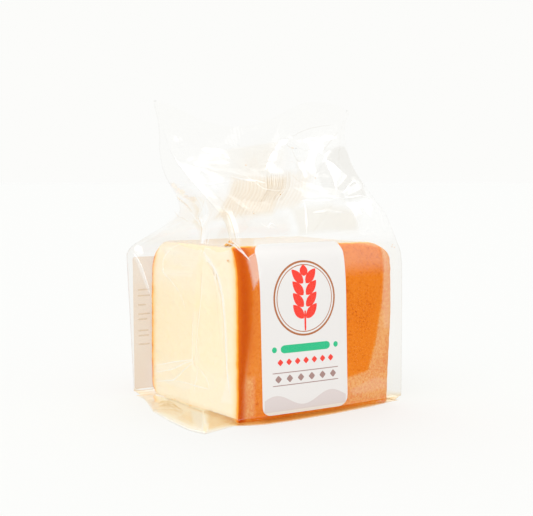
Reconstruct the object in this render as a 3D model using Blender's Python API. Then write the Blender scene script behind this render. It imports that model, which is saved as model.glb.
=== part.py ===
"""A block of chiffon cake sealed in a clear side-gusseted film pack, standing on its folded end.

The pack is one closed solid of its outer form. The film lies close on the cake, stands off it along
three upright folds, tucks in at both sides above the cake and rises to a flat, buckled seal.
"""

import math

import bmesh
import bpy
import numpy as np

MM = 0.001

# The cake inside: the crusted front is the XZ plane, the cut face on the left is the YZ plane.
CAKE_HEIGHT = 76.0
BARREL = 4.1
BARREL_LOW = 8.0
BARREL_LOW_SPAN = 14.0
BARREL_HIGH = 50.0
BARREL_HIGH_SPAN = 25.5
BARREL_AT_RIGHT = 0.4

# Heights at which the folds of the film are given, from the foot to the top of the seal.
LEVELS = (3.0, 72.0, 80.0, 89.0, 98.0, 107.0, 116.0, 127.0, 136.0)

# Plan position (x, y) of each upright fold at those heights.
FOLDS = {
    "front_left": (
        (-0.6, -1.0), (-1.0, -1.0), (-1.5, 0.5), (-2.0, 5.0), (-6.0, 14.5),
        (-8.5, 25.0), (-13.0, 32.0), (-16.7, 35.2), (-20.0, 36.2),
    ),
    "front_right": (
        (92.4, -1.0), (92.2, -1.0), (90.5, 1.5), (89.5, 6.0), (86.5, 13.5),
        (85.0, 22.0), (85.0, 30.0), (86.0, 35.2), (90.0, 36.2),
    ),
    "right_tuck": (
        (88.4, 40.0), (88.0, 38.0), (82.0, 37.0), (77.0, 36.0), (77.5, 35.5),
        (81.5, 36.0), (84.0, 36.4), (85.7, 36.5), (89.6, 37.3),
    ),
    "back_right": (
        (92.0, 79.0), (93.0, 78.0), (92.5, 67.0), (91.5, 54.0), (90.0, 45.0),
        (88.0, 40.8), (86.5, 39.2), (86.5, 38.0), (90.0, 38.4),
    ),
    "back_left": (
        (-9.5, 78.0), (-12.5, 79.0), (-5.0, 66.0), (1.5, 49.0), (-4.5, 42.0),
        (-11.8, 40.2), (-15.2, 39.2), (-16.7, 38.0), (-20.0, 38.4),
    ),
    "left_tuck": (
        (-1.8, 36.0), (-1.6, 28.0), (5.0, 27.0), (11.0, 28.5), (9.0, 31.0),
        (-1.0, 34.0), (-12.0, 36.0), (-16.2, 36.6), (-19.6, 37.3),
    ),
}
FOLD_SOFTENING = 2.5

# Steps round the pack: along each broad panel, and from a fold to the crease of a tuck.
PANEL_STEPS = 30
TUCK_STEPS = 8
HOLLOW_REACH = 0.22

# The ear of folded film that lies on the table at the left foot, as plan points.
EAR_THICKNESS = 1.4
EAR_ROOT_BACK = (-8.0, 72.0)
EAR_FLANK = ((-13.5, 56.0), (-19.6, 38.0), (-23.0, 16.7))
EAR_TIP_BACK = (-24.6, -3.5)
EAR_TIP_FRONT = (-22.6, -13.4)
EAR_HEEL = (-4.5, -6.5)

# The skirt of film that runs out on the table in front of the crust, as plan points.
SKIRT = (
    (0.5, -9.0), (8.0, -10.2), (22.0, -9.8), (47.0, -7.6), (70.0, -5.0), (88.0, -1.6),
)
FOOT_RIGHT = 88.0
FOOT_BACK = 76.0

# The seal at the top: its edge rises and falls along the width and buckles front to back.
SEAL_FOOT = 108.0
SEAL_TOP = 136.0
SEAL_LEFT = -20.0
SEAL_LENGTH = 110.0
SEAL_LEFT_SHARE = 0.6
SEAL_RISE = 8.0
SEAL_WAVE = 100.0
SEAL_CREST = 72.0
SEAL_BUCKLE = 2.6
SEAL_BUCKLE_START = -6.0
SEAL_BUCKLE_WAVE = 62.0

# Slack film above the cake stands forward, and breaks into flat facets.
BROW_HEIGHT = 84.0
BROW_SPREAD = 8.0
BROW_BULGE = 3.0
BACK_BROW = 0.5
TAUT_BULGE = 1.4
CRUMPLE_START = 77.0
CRUMPLE_FULL = 96.0
CRUMPLE_DEPTH = 2.8
BACK_CRUMPLE = 0.8
FACET_REACH = 2.5

# The lengthwise seam lies flat on the middle of the back.
SEAM_MIDDLE = 42.0
SEAM_HALF_WIDTH = 7.0
SEAM_THICKNESS = 0.9

# Heights of the rings above the ear.
FOOT_HEIGHTS = (2.6, 4.5)
BODY_START = 8.0
BODY_STEP = 6.0
HEAD_START = 72.0
HEAD_STEP = 2.4

FILM_COLOUR = (0.87, 0.78, 0.62, 1.0)
FILM_ROUGHNESS = 0.25


def clear_scene():
    """Removes whatever the scene holds."""
    for item in list(bpy.data.objects):
        bpy.data.objects.remove(item, do_unlink=True)


def ramp(value, low, high):
    """Rises smoothly from 0 at low to 1 at high."""
    t = np.clip((value - low) / (high - low), 0.0, 1.0)
    return t * t * (3.0 - 2.0 * t)


def zigzag(phase):
    """A wave of straight flanks and sharp crests between -1 and 1, with a period of 1."""
    return 4.0 * abs(phase - math.floor(phase + 0.5)) - 1.0


def fold_at(name, height):
    """The plan position of an upright fold at a height, with its corners a little softened."""
    x_values, y_values = zip(*FOLDS[name])
    samples = (height - FOLD_SOFTENING, height, height + FOLD_SOFTENING)
    x = sum(np.interp(s, LEVELS, x_values) for s in samples) / len(samples)
    y = sum(np.interp(s, LEVELS, y_values) for s in samples) / len(samples)
    return np.array((x, y))


def barrel(height):
    """How far the crusted front swells forward at a height."""
    above = max(0.0, height - BARREL_HIGH) / BARREL_HIGH_SPAN
    below = max(0.0, BARREL_LOW - height) / BARREL_LOW_SPAN
    return BARREL * max(0.0, 1.0 - above ** 3 - below ** 2)


def crumple(across, height):
    """Depth of the flat facets that the slack film breaks into."""
    wide = zigzag(0.020 * across + 0.013 * height + 0.15)
    steep = zigzag(0.034 * across - 0.031 * height + 0.55)
    fine = zigzag(0.011 * across + 0.052 * height + 0.30)
    depth = 0.50 * wide + 0.32 * steep + 0.18 * fine
    return CRUMPLE_DEPTH * depth * ramp(height, CRUMPLE_START, CRUMPLE_FULL)


def panel(start, end, bulge, height, crumpled=1.0):
    """Points of a broad panel from one fold up to the next, bulging outwards."""
    run = end - start
    outward = np.array((run[1], -run[0])) / np.linalg.norm(run)
    points = []
    for step in range(PANEL_STEPS):
        t = step / PANEL_STEPS
        arch = math.sin(math.pi * t)
        place = start + run * t
        facets = crumpled * crumple(place[0], height) * min(1.0, FACET_REACH * arch)
        points.append(place + outward * (bulge * arch + facets))
    return points


def tuck_half(start, end, hollow):
    """Points of half a side, on a curve that hollows in towards the crease of the tuck."""
    points = []
    for step in range(TUCK_STEPS):
        t = step / TUCK_STEPS
        points.append((1 - t) ** 2 * start + 2 * t * (1 - t) * hollow + t * t * end)
    return points


def route(corners, steps):
    """Points at equal steps along straight runs, without the last corner."""
    corners = np.array(corners, dtype=float)
    lengths = np.linalg.norm(np.diff(corners, axis=0), axis=1)
    reach = np.concatenate(((0.0,), np.cumsum(lengths)))
    where = np.linspace(0.0, reach[-1], steps, endpoint=False)
    return [np.array([np.interp(w, reach, corners[:, axis]) for axis in (0, 1)]) for w in where]


def side_run(first, tuck, last):
    """Points of one side, from its first fold to its last by way of the crease of its tuck."""
    leaving = np.array((tuck[0], first[1] + HOLLOW_REACH * (tuck[1] - first[1])))
    meeting = np.array((tuck[0], last[1] + HOLLOW_REACH * (tuck[1] - last[1])))
    return tuck_half(first, tuck, leaving) + tuck_half(tuck, last, meeting)


def with_seam(place):
    """Stands a point of the back out by the thickness of the seam, where the seam lies."""
    if abs(place[0] - SEAM_MIDDLE) > SEAM_HALF_WIDTH:
        return place
    return place + np.array((0.0, SEAM_THICKNESS))


def body_section(height):
    """The closed outline of the pack at a height above its foot, counter-clockwise from above."""
    front_left, front_right, right_tuck, back_right, back_left, left_tuck = (
        fold_at(name, height) for name in FOLDS
    )
    swell = barrel(height)
    front_left[1] -= swell
    front_right[1] -= BARREL_AT_RIGHT * swell
    brow = BROW_BULGE * math.exp(-((height - BROW_HEIGHT) / BROW_SPREAD) ** 2)
    taut = 1.0 - ramp(height, CAKE_HEIGHT, LEVELS[-1])
    points = panel(front_left, front_right, brow + TAUT_BULGE * taut, height)
    points += side_run(front_right, right_tuck, back_right)
    back = panel(back_right, back_left, BACK_BROW * brow, height, BACK_CRUMPLE)
    points += [with_seam(place) for place in back]
    points += side_run(back_left, left_tuck, front_left)
    return points


def foot_section():
    """The outline on the table: the skirt in front, the folded end and the ear at its left."""
    back_right = (FOOT_RIGHT, FOOT_BACK)
    points = route(SKIRT, PANEL_STEPS)
    points += route((SKIRT[-1], back_right), 2 * TUCK_STEPS)
    points += route((back_right, EAR_ROOT_BACK), PANEL_STEPS)
    points += route((EAR_ROOT_BACK, *EAR_FLANK, EAR_TIP_BACK), TUCK_STEPS)
    points += route((EAR_TIP_BACK, EAR_TIP_FRONT, EAR_HEEL, SKIRT[0]), TUCK_STEPS)
    return points


def seal_shift(across, height):
    """How far the film near the seal is carried back and up at a place along its width."""
    share = ramp(height, SEAL_FOOT, SEAL_TOP)
    fullness = SEAL_LEFT_SHARE + (1.0 - SEAL_LEFT_SHARE) * (across - SEAL_LEFT) / SEAL_LENGTH
    rise = SEAL_RISE * fullness * math.cos(2 * math.pi * (across - SEAL_CREST) / SEAL_WAVE)
    buckle = SEAL_BUCKLE * math.sin(2 * math.pi * (across - SEAL_BUCKLE_START) / SEAL_BUCKLE_WAVE)
    return share * buckle, share * rise


def stations():
    """Every outline from the table up, as its height and its plan points."""
    rows = [(0.0, foot_section()), (EAR_THICKNESS, foot_section())]
    heights = list(FOOT_HEIGHTS)
    heights += list(np.arange(BODY_START, HEAD_START, BODY_STEP))
    heights += list(np.arange(HEAD_START, SEAL_TOP, HEAD_STEP))
    heights.append(SEAL_TOP)
    rows += [(height, body_section(height)) for height in heights]
    return rows


def raise_ring(shell, ring):
    """Extrudes a ring of corners and gives the new ring in the same order."""
    edges = [shell.edges.get((here, after)) for here, after in zip(ring, ring[1:] + ring[:1])]
    grown = bmesh.ops.extrude_edge_only(shell, edges=edges)["geom"]
    fresh = {item for item in grown if isinstance(item, bmesh.types.BMVert)}
    return [next(edge.other_vert(old) for edge in old.link_edges if edge.other_vert(old) in fresh)
            for old in ring]


def close_seal(shell, ring):
    """Closes the top ring between the edge of the front panel and that of the back panel."""
    back_start = PANEL_STEPS + 2 * TUCK_STEPS
    runs = (ring[:PANEL_STEPS + 1], ring[back_start:back_start + PANEL_STEPS + 1])
    edges = [shell.edges.get(pair) for run in runs for pair in zip(run, run[1:])]
    bmesh.ops.bridge_loops(shell, edges=edges)


def pack_mesh():
    """The pack's outer form as one closed shell, raised ring by ring and capped."""
    rows = stations()
    shell = bmesh.new()
    bmesh.ops.create_circle(shell, cap_ends=False, segments=len(rows[0][1]), radius=1.0)
    ring = list(shell.verts)
    for level, (height, points) in enumerate(rows):
        if level:
            ring = raise_ring(shell, ring)
        for corner, (x, y) in zip(ring, points):
            back, rise = seal_shift(x, height)
            corner.co = (x * MM, (y + back) * MM, (height + rise) * MM)
    close_seal(shell, ring)
    open_edges = [edge for edge in shell.edges if edge.is_boundary]
    bmesh.ops.holes_fill(shell, edges=open_edges, sides=0)
    bmesh.ops.triangulate(shell, faces=list(shell.faces), ngon_method="EAR_CLIP")
    bmesh.ops.recalc_face_normals(shell, faces=list(shell.faces))
    return shell


def centre_on_foot(shell):
    """Moves the shell so that the middle of its box stands over the origin."""
    low = np.min([corner.co[:] for corner in shell.verts], axis=0)
    high = np.max([corner.co[:] for corner in shell.verts], axis=0)
    middle = (low + high) / 2
    bmesh.ops.translate(shell, verts=list(shell.verts), vec=(-middle[0], -middle[1], -low[2]))


def film_material():
    """The look of film over cake, as one plain finish."""
    material = bpy.data.materials.new("film_over_cake")
    material.use_nodes = True
    shader = material.node_tree.nodes["Principled BSDF"]
    shader.inputs["Base Color"].default_value = FILM_COLOUR
    shader.inputs["Roughness"].default_value = FILM_ROUGHNESS
    shader.inputs["Metallic"].default_value = 0.0
    return material


def make_pack():
    """The sealed pack as one object."""
    shell = pack_mesh()
    centre_on_foot(shell)
    mesh = bpy.data.meshes.new("pack")
    shell.to_mesh(mesh)
    shell.free()
    mesh.materials.append(film_material())
    pack = bpy.data.objects.new("pack", mesh)
    bpy.context.scene.collection.objects.link(pack)
    return pack


clear_scene()
make_pack()
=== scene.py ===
"""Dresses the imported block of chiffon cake: sponge and crust, clear film, prints and loose crumbs.

Every size is in millimetres on the cake's own corner: x runs right along the crusted front, y runs
back along the cut face on the left, and z runs up from the table.
"""

import logging
import math
from dataclasses import dataclass, field
from enum import Enum
from functools import cached_property, partialmethod
from typing import Callable, Iterable, Sequence

import bmesh
import bpy
import numpy as np
from mathutils import Matrix, Vector, noise


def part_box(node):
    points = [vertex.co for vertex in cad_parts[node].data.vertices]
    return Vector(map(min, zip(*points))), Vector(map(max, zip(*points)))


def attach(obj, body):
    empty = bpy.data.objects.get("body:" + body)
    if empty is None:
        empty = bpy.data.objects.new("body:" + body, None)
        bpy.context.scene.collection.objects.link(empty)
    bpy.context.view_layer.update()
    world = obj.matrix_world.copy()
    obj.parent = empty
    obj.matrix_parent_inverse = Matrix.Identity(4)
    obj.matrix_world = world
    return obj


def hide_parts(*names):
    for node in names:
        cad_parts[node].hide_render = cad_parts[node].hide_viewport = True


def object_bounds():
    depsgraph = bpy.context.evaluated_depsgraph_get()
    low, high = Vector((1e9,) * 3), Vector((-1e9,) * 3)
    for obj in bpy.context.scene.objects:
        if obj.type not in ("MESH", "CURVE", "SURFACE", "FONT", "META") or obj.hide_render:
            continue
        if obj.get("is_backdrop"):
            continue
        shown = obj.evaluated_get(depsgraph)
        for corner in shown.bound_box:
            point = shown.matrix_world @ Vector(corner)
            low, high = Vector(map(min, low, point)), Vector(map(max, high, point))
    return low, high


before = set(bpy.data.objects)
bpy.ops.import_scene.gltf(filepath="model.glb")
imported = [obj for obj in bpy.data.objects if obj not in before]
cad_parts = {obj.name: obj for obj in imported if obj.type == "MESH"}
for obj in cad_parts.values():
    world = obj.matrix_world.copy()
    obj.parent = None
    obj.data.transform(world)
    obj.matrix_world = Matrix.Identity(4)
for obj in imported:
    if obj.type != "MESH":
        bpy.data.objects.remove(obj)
CAD_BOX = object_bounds()

MM = 0.001
BODY = "root"
PACK_NODE = "pack"

LOG = logging.getLogger("packed_cake")

Plan = tuple[float, float]
Four = tuple[float, float, float, float]
Colour = tuple[float, float, float]
Way = tuple[Plan, ...]
Fold = tuple[Way | float, ...]
Array = np.ndarray
Shape = bmesh.types.BMesh
Piece = bpy.types.Object
Material = bpy.types.Material
Node = bpy.types.Node
Socket = bpy.types.NodeSocket


# --- places and small sums


@dataclass(frozen=True)
class CakeCorner:
    """Where the cake's near left bottom corner stands in the frame.

    The ear of film at the left foot reaches furthest left and furthest forward of the whole pack,
    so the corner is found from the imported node's box.
    """

    ear_reach_left: float = 24.6
    ear_reach_front: float = 13.4

    def origin(self) -> Vector:
        """Gives the corner's place in the frame, in metres."""
        low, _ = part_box(PACK_NODE)
        return Vector((low.x + self.ear_reach_left * MM, low.y + self.ear_reach_front * MM, low.z))

    def to_frame(self, points: Array) -> Array:
        """Carries points in millimetres on the cake's corner into the frame."""
        return points * MM + np.array(self.origin())

    def from_frame(self, points: Array) -> Array:
        """Carries points in the frame back to millimetres on the cake's corner."""
        return (points - np.array(self.origin())) / MM


CORNER = CakeCorner()


def ramp(value: Array, low: float, high: float) -> Array:
    """Rises smoothly from 0 at low to 1 at high."""
    t = np.clip((value - low) / (high - low), 0, 1)
    return t * t * (3 - 2 * t)


def bent_line(start: Plan, turn: float, bend: float, size: float) -> Way:
    """Draws a line of two equal halves from its start, each along its own angle."""
    line = [start]
    for angle in (turn, bend):
        x, y = line[-1]
        line.append((x + 0.5 * size * math.cos(angle), y + 0.5 * size * math.sin(angle)))
    return tuple(line)


def zigzag(phase: Array) -> Array:
    """Gives a wave of straight flanks and sharp crests between -1 and 1, with a period of 1."""
    return 4 * np.abs(phase - np.floor(phase + 0.5)) - 1


def away_from(ends: Sequence[Plan], along: Array, height: Array) -> Array:
    """Measures the distance of places from a bent line.

    Args:
        ends: The line's points.
        along: The places' first coordinate.
        height: Their second coordinate.

    Returns:
        The distance of each place.
    """
    nearest = np.full(np.broadcast(along, height).shape, np.inf)
    for (x0, z0), (x1, z1) in zip(ends, ends[1:]):
        run_x, run_z = x1 - x0, z1 - z0
        share = ((along - x0) * run_x + (height - z0) * run_z) / (run_x ** 2 + run_z ** 2)
        share = np.clip(share, 0, 1)
        away = np.hypot(along - x0 - share * run_x, height - z0 - share * run_z)
        nearest = np.minimum(nearest, away)
    return nearest


def round_outline(first: Array, second: Array, spans: Plan,
                  radii: dict[tuple[int, int], float]) -> tuple[Array, Array]:
    """Draws the corners of a rectangle in to quarter circles.

    Args:
        first: Places along the first side.
        second: Places along the second side.
        spans: The lengths of both sides.
        radii: A radius for each corner, by -1 or 1 in both directions.

    Returns:
        The rounded places.
    """
    for (side, level), radius in radii.items():
        flat_a, flat_b = spans[0] - radius, spans[1] - radius
        a = ((first if side > 0 else spans[0] - first) - flat_a) / radius
        b = ((second if level > 0 else spans[1] - second) - flat_b) / radius
        squares = (np.maximum(a, 0), np.maximum(b, 0))
        inside = (a > 0) & (b > 0)
        a, b = (np.where(inside, one * np.sqrt(1 - 0.5 * other * other), plain)
                for one, other, plain in ((*squares, a), (*squares[::-1], b)))
        a, b = a * radius + flat_a, b * radius + flat_b
        first = a if side > 0 else spans[0] - a
        second = b if level > 0 else spans[1] - b
    return first, second


# --- mesh helpers


def new_piece(name: str, shape: Shape, slot: str, finish: Material, **values: Array) -> Piece:
    """Turns a finished bmesh into a piece that rides on the pack.

    Args:
        name: The piece's name.
        shape: The bmesh, in frame metres. It is freed.
        slot: Not used.
        finish: The piece's material.
        **values: Numbers for each vertex, for the material to read.

    Returns:
        The piece.
    """
    for face in shape.faces:
        face.smooth = True
    mesh = bpy.data.meshes.new(name)
    shape.to_mesh(mesh)
    shape.free()
    mesh.materials.append(finish)
    piece = bpy.data.objects.new(name, mesh)
    bpy.context.scene.collection.objects.link(piece)
    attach(piece, BODY)
    for key, numbers in values.items():
        layer = mesh.attributes.new(name=key, type="FLOAT", domain="POINT")
        layer.data.foreach_set("value", np.asarray(numbers, dtype=np.float32))
    return piece


def join_shapes(shapes: Iterable[Shape]) -> Shape:
    """Joins bmeshes into one and frees them."""
    whole = bmesh.new()
    for shape in shapes:
        part = bpy.data.meshes.new("part")
        shape.to_mesh(part)
        shape.free()
        whole.from_mesh(part)
        bpy.data.meshes.remove(part)
    return whole


def flat_grid(columns: int, rows: int) -> Shape:
    """Makes a flat grid over the unit square from 0 to 1.

    Args:
        columns: Faces along x.
        rows: Faces along y.

    Returns:
        The grid.
    """
    grid = bmesh.new()
    bmesh.ops.create_grid(grid, x_segments=columns, y_segments=rows, size=0.5)
    bmesh.ops.translate(grid, verts=list(grid.verts), vec=(0.5, 0.5, 0))
    return grid


def corners_of(shape: Shape) -> Array:
    """Gives the places of all the vertices as an array."""
    return np.array([vertex.co[:] for vertex in shape.verts])


def place_corners(shape: Shape, places: Array) -> None:
    """Moves every vertex to its place."""
    for vertex, place in zip(shape.verts, places):
        vertex.co = place


# --- the form of the film


class Run(Enum):
    """The stretches of film round the pack, from fold to fold."""

    FRONT = ("front_left", "front_right")
    RIGHT_NEAR = ("front_right", "right_tuck")
    RIGHT_FAR = ("right_tuck", "back_right")
    BACK = ("back_right", "back_left")
    LEFT_FAR = ("back_left", "left_tuck")
    LEFT_NEAR = ("left_tuck", "front_left")

    @property
    def broad(self) -> bool:
        """Tells whether the stretch is the front or the back."""
        return self in (Run.FRONT, Run.BACK)

    def along(self, places: Array) -> Array:
        """Gives places' x on the front or back, and their y on a side."""
        return places[..., 0 if self.broad else 1]


@dataclass(frozen=True)
class Crease:
    """A sharp fold in a stretch of film. It stands out, or in where its depth is negative."""

    line: Way
    depth: float
    reach: float

    def lift(self, along: Array, height: Array) -> Array:
        """Gives how far the crease moves the film outwards at each place."""
        nearest = away_from(self.line, along, height)
        return self.depth * np.clip(1 - nearest / self.reach, 0, 1)


@dataclass(frozen=True)
class Patch:
    """A flat facet of film with straight sides.

    It adds a painted highlight, extra light thrown back over its area. It darkens what lies behind
    it with painted shade and tints it with a painted warm reflection of the brown cake and print. It
    stands out by its lift, with a rim as wide as its bevel, and its look fades over its blur.
    """

    corners: Way
    sheen: float = 0.0
    dim: float = 0.0
    warm: float = 0.0
    lift: float = 0.0
    bevel: float = 2.0
    blur: float = 0.8

    def inside(self, along: Array, height: Array) -> Array:
        """Measures how far places lie inside the facet.

        Args:
            along: Distances along the stretch.
            height: Heights.

        Returns:
            The distance from the nearest side, negative outside.
        """
        ends = (self.corners[-1], *self.corners)
        nearest = away_from(ends, along, height)
        within = np.zeros(nearest.shape, dtype=bool)
        for (x0, z0), (x1, z1) in zip(ends, ends[1:]):
            crosses = (z0 > height) != (z1 > height)
            within ^= crosses & (along < x0 + (height - z0) * (x1 - x0) / (z1 - z0 or 1e-9))
        return np.where(within, nearest, -nearest)

    def cover(self, along: Array, height: Array) -> Array:
        """Gives 1 inside the facet and 0 outside, with a soft edge."""
        return ramp(self.inside(along, height), -self.blur, self.blur)

    def rise(self, along: Array, height: Array) -> Array:
        """Gives how far the film stands out at each place."""
        return self.lift * np.clip(self.inside(along, height) / self.bevel, 0, 1)


@dataclass(frozen=True)
class PackForm:
    """The shape that the film takes round the cake and above it."""

    cake_height: float = 76.0
    barrel: float = 4.1
    barrel_low: float = 8.0
    barrel_low_span: float = 14.0
    barrel_high: float = 50.0
    barrel_high_span: float = 25.5
    barrel_at_right: float = 0.4
    levels: tuple[float, ...] = (3.0, 72.0, 80.0, 89.0, 98.0, 107.0, 116.0, 127.0, 136.0)
    fold_softening: float = 2.5
    hollow_reach: float = 0.22
    seal_foot: float = 108.0
    seal_top: float = 136.0
    seal_left: float = -20.0
    seal_length: float = 110.0
    seal_left_share: float = 0.6
    seal_rise: float = 8.0
    seal_wave: float = 100.0
    seal_crest: float = 72.0
    seal_buckle: float = 2.6
    seal_buckle_start: float = -6.0
    seal_buckle_wave: float = 62.0
    brow_height: float = 84.0
    brow_spread: float = 8.0
    brow_bulge: float = 3.0
    back_brow: float = 0.5
    taut_bulge: float = 1.4
    crumple_start: float = 77.0
    crumple_full: float = 96.0
    crumple_depth: float = 2.8
    back_crumple: float = 0.8
    facet_reach: float = 2.5
    probe: float = 0.01
    folds: dict[str, Way] = field(default_factory=lambda: {
        "front_left": ((-0.6, -1), (-1, -1), (-1.5, 0.5), (-2, 5), (-6, 14.5), (-8.5, 25),
                       (-13, 32), (-16.7, 35.2), (-20, 36.2)),
        "front_right": ((92.4, -1), (92.2, -1), (90.5, 1.5), (89.5, 6), (86.5, 13.5), (85, 22),
                        (85, 30), (86, 35.2), (90, 36.2)),
        "right_tuck": ((88.4, 40), (88, 38), (82, 37), (77, 36), (77.5, 35.5), (81.5, 36),
                       (84, 36.4), (85.7, 36.5), (89.6, 37.3)),
        "back_right": ((92, 79), (93, 78), (92.5, 67), (91.5, 54), (90, 45), (88, 40.8),
                       (86.5, 39.2), (86.5, 38), (90, 38.4)),
        "back_left": ((-9.5, 78), (-12.5, 79), (-5, 66), (1.5, 49), (-4.5, 42), (-11.8, 40.2),
                      (-15.2, 39.2), (-16.7, 38), (-20, 38.4)),
        "left_tuck": ((-1.8, 36), (-1.6, 28), (5, 27), (11, 28.5), (9, 31), (-1, 34), (-12, 36),
                      (-16.2, 36.6), (-19.6, 37.3)),
    })

    def barrel_at(self, height: Array) -> Array:
        """Gives how far the crusted front swells forward at each height."""
        above = np.maximum(0, height - self.barrel_high) / self.barrel_high_span
        below = np.maximum(0, self.barrel_low - height) / self.barrel_low_span
        return self.barrel * np.maximum(0, 1 - above ** 3 - below ** 2)

    def fold_at(self, name: str, height: Array) -> Array:
        """Finds an upright fold in plan.

        Args:
            name: The fold's name.
            height: Heights.

        Returns:
            The fold's x and y at each height.
        """
        x_values, y_values = zip(*self.folds[name])
        samples = (height - self.fold_softening, height, height + self.fold_softening)
        x = sum(np.interp(s, self.levels, x_values) for s in samples) / len(samples)
        y = sum(np.interp(s, self.levels, y_values) for s in samples) / len(samples)
        swell = self.barrel_at(height)
        if name == "front_left":
            y = y - swell
        if name == "front_right":
            y = y - self.barrel_at_right * swell
        return np.stack((x, y), axis=-1)

    def crumple(self, across: Array, height: Array) -> Array:
        """Gives the depth of the flat facets that the slack film breaks into."""
        wide = zigzag(0.020 * across + 0.013 * height + 0.15)
        steep = zigzag(0.034 * across - 0.031 * height + 0.55)
        fine = zigzag(0.011 * across + 0.052 * height + 0.30)
        depth = 0.50 * wide + 0.32 * steep + 0.18 * fine
        return self.crumple_depth * depth * ramp(height, self.crumple_start, self.crumple_full)

    def bulge_at(self, run: Run, height: Array) -> Array:
        """Gives how far a broad panel stands out at its middle."""
        brow = self.brow_bulge * np.exp(-((height - self.brow_height) / self.brow_spread) ** 2)
        if run is Run.BACK:
            return self.back_brow * brow
        taut = 1 - ramp(height, self.cake_height, self.levels[-1])
        return brow + self.taut_bulge * taut

    def plan_at(self, run: Run, t: Array, height: Array) -> Array:
        """Finds a place on the film in plan, before the seal's waves.

        Args:
            run: The stretch of film.
            t: The share of the way along it.
            height: Heights.

        Returns:
            Their x and y.
        """
        first, last = (self.fold_at(name, height) for name in run.value)
        t = np.broadcast_to(t, height.shape)[..., None]
        if run.broad:
            way = last - first
            outward = np.stack((way[..., 1], -way[..., 0]), axis=-1)
            outward = outward / np.linalg.norm(way, axis=-1)[..., None]
            arch = np.sin(math.pi * t)
            place = first + way * t
            share = self.back_crumple if run is Run.BACK else 1
            facets = share * self.crumple(place[..., 0], height)[..., None]
            facets = facets * np.minimum(1, self.facet_reach * np.abs(arch))
            return place + outward * (self.bulge_at(run, height)[..., None] * arch + facets)
        fold, tuck = (first, last) if run.value[1].endswith("tuck") else (last, first)
        hollow_y = fold[..., 1] + self.hollow_reach * (tuck[..., 1] - fold[..., 1])
        hollow = np.stack((tuck[..., 0], hollow_y), axis=-1)
        return (1 - t) ** 2 * first + 2 * t * (1 - t) * hollow + t * t * last

    def base_at(self, run: Run, t: Array, height: Array) -> Array:
        """Finds a place on the film with the seal's rise and buckle.

        Args:
            run: The stretch of film.
            t: The share of the way along it.
            height: Heights before the seal's waves.

        Returns:
            The places.
        """
        plan = self.plan_at(run, t, height)
        across = plan[..., 0]
        share = ramp(height, self.seal_foot, self.seal_top)
        from_left = (across - self.seal_left) / self.seal_length
        fullness = self.seal_left_share + (1 - self.seal_left_share) * from_left
        wave = np.cos(2 * math.pi * (across - self.seal_crest) / self.seal_wave)
        buckle = np.sin(2 * math.pi * (across - self.seal_buckle_start) / self.seal_buckle_wave)
        back = self.seal_buckle * buckle * share
        rise = self.seal_rise * fullness * wave * share
        return np.stack((across, plan[..., 1] + back, height + rise), axis=-1)

    def share_at(self, run: Run, along: Array, height: Array) -> Array:
        """Finds how far along a stretch places lie.

        Args:
            run: The stretch of film.
            along: The x of each place on the front or back, or its y on a side.
            height: Their heights.

        Returns:
            The share of the way along the stretch.
        """
        first, last = (run.along(self.fold_at(name, height)) for name in run.value)
        if run.broad:
            return (along - first) / (last - first)
        inward = run.value[1].endswith("tuck")
        fold, tuck = (first, last) if inward else (last, first)
        way = np.clip((along - fold) / (tuck - fold), 0, 1)
        bend = 2 * self.hollow_reach
        share = (np.sqrt(bend ** 2 + 4 * (1 - bend) * way) - bend) / (2 * (1 - bend))
        return share if inward else 1 - share


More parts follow.
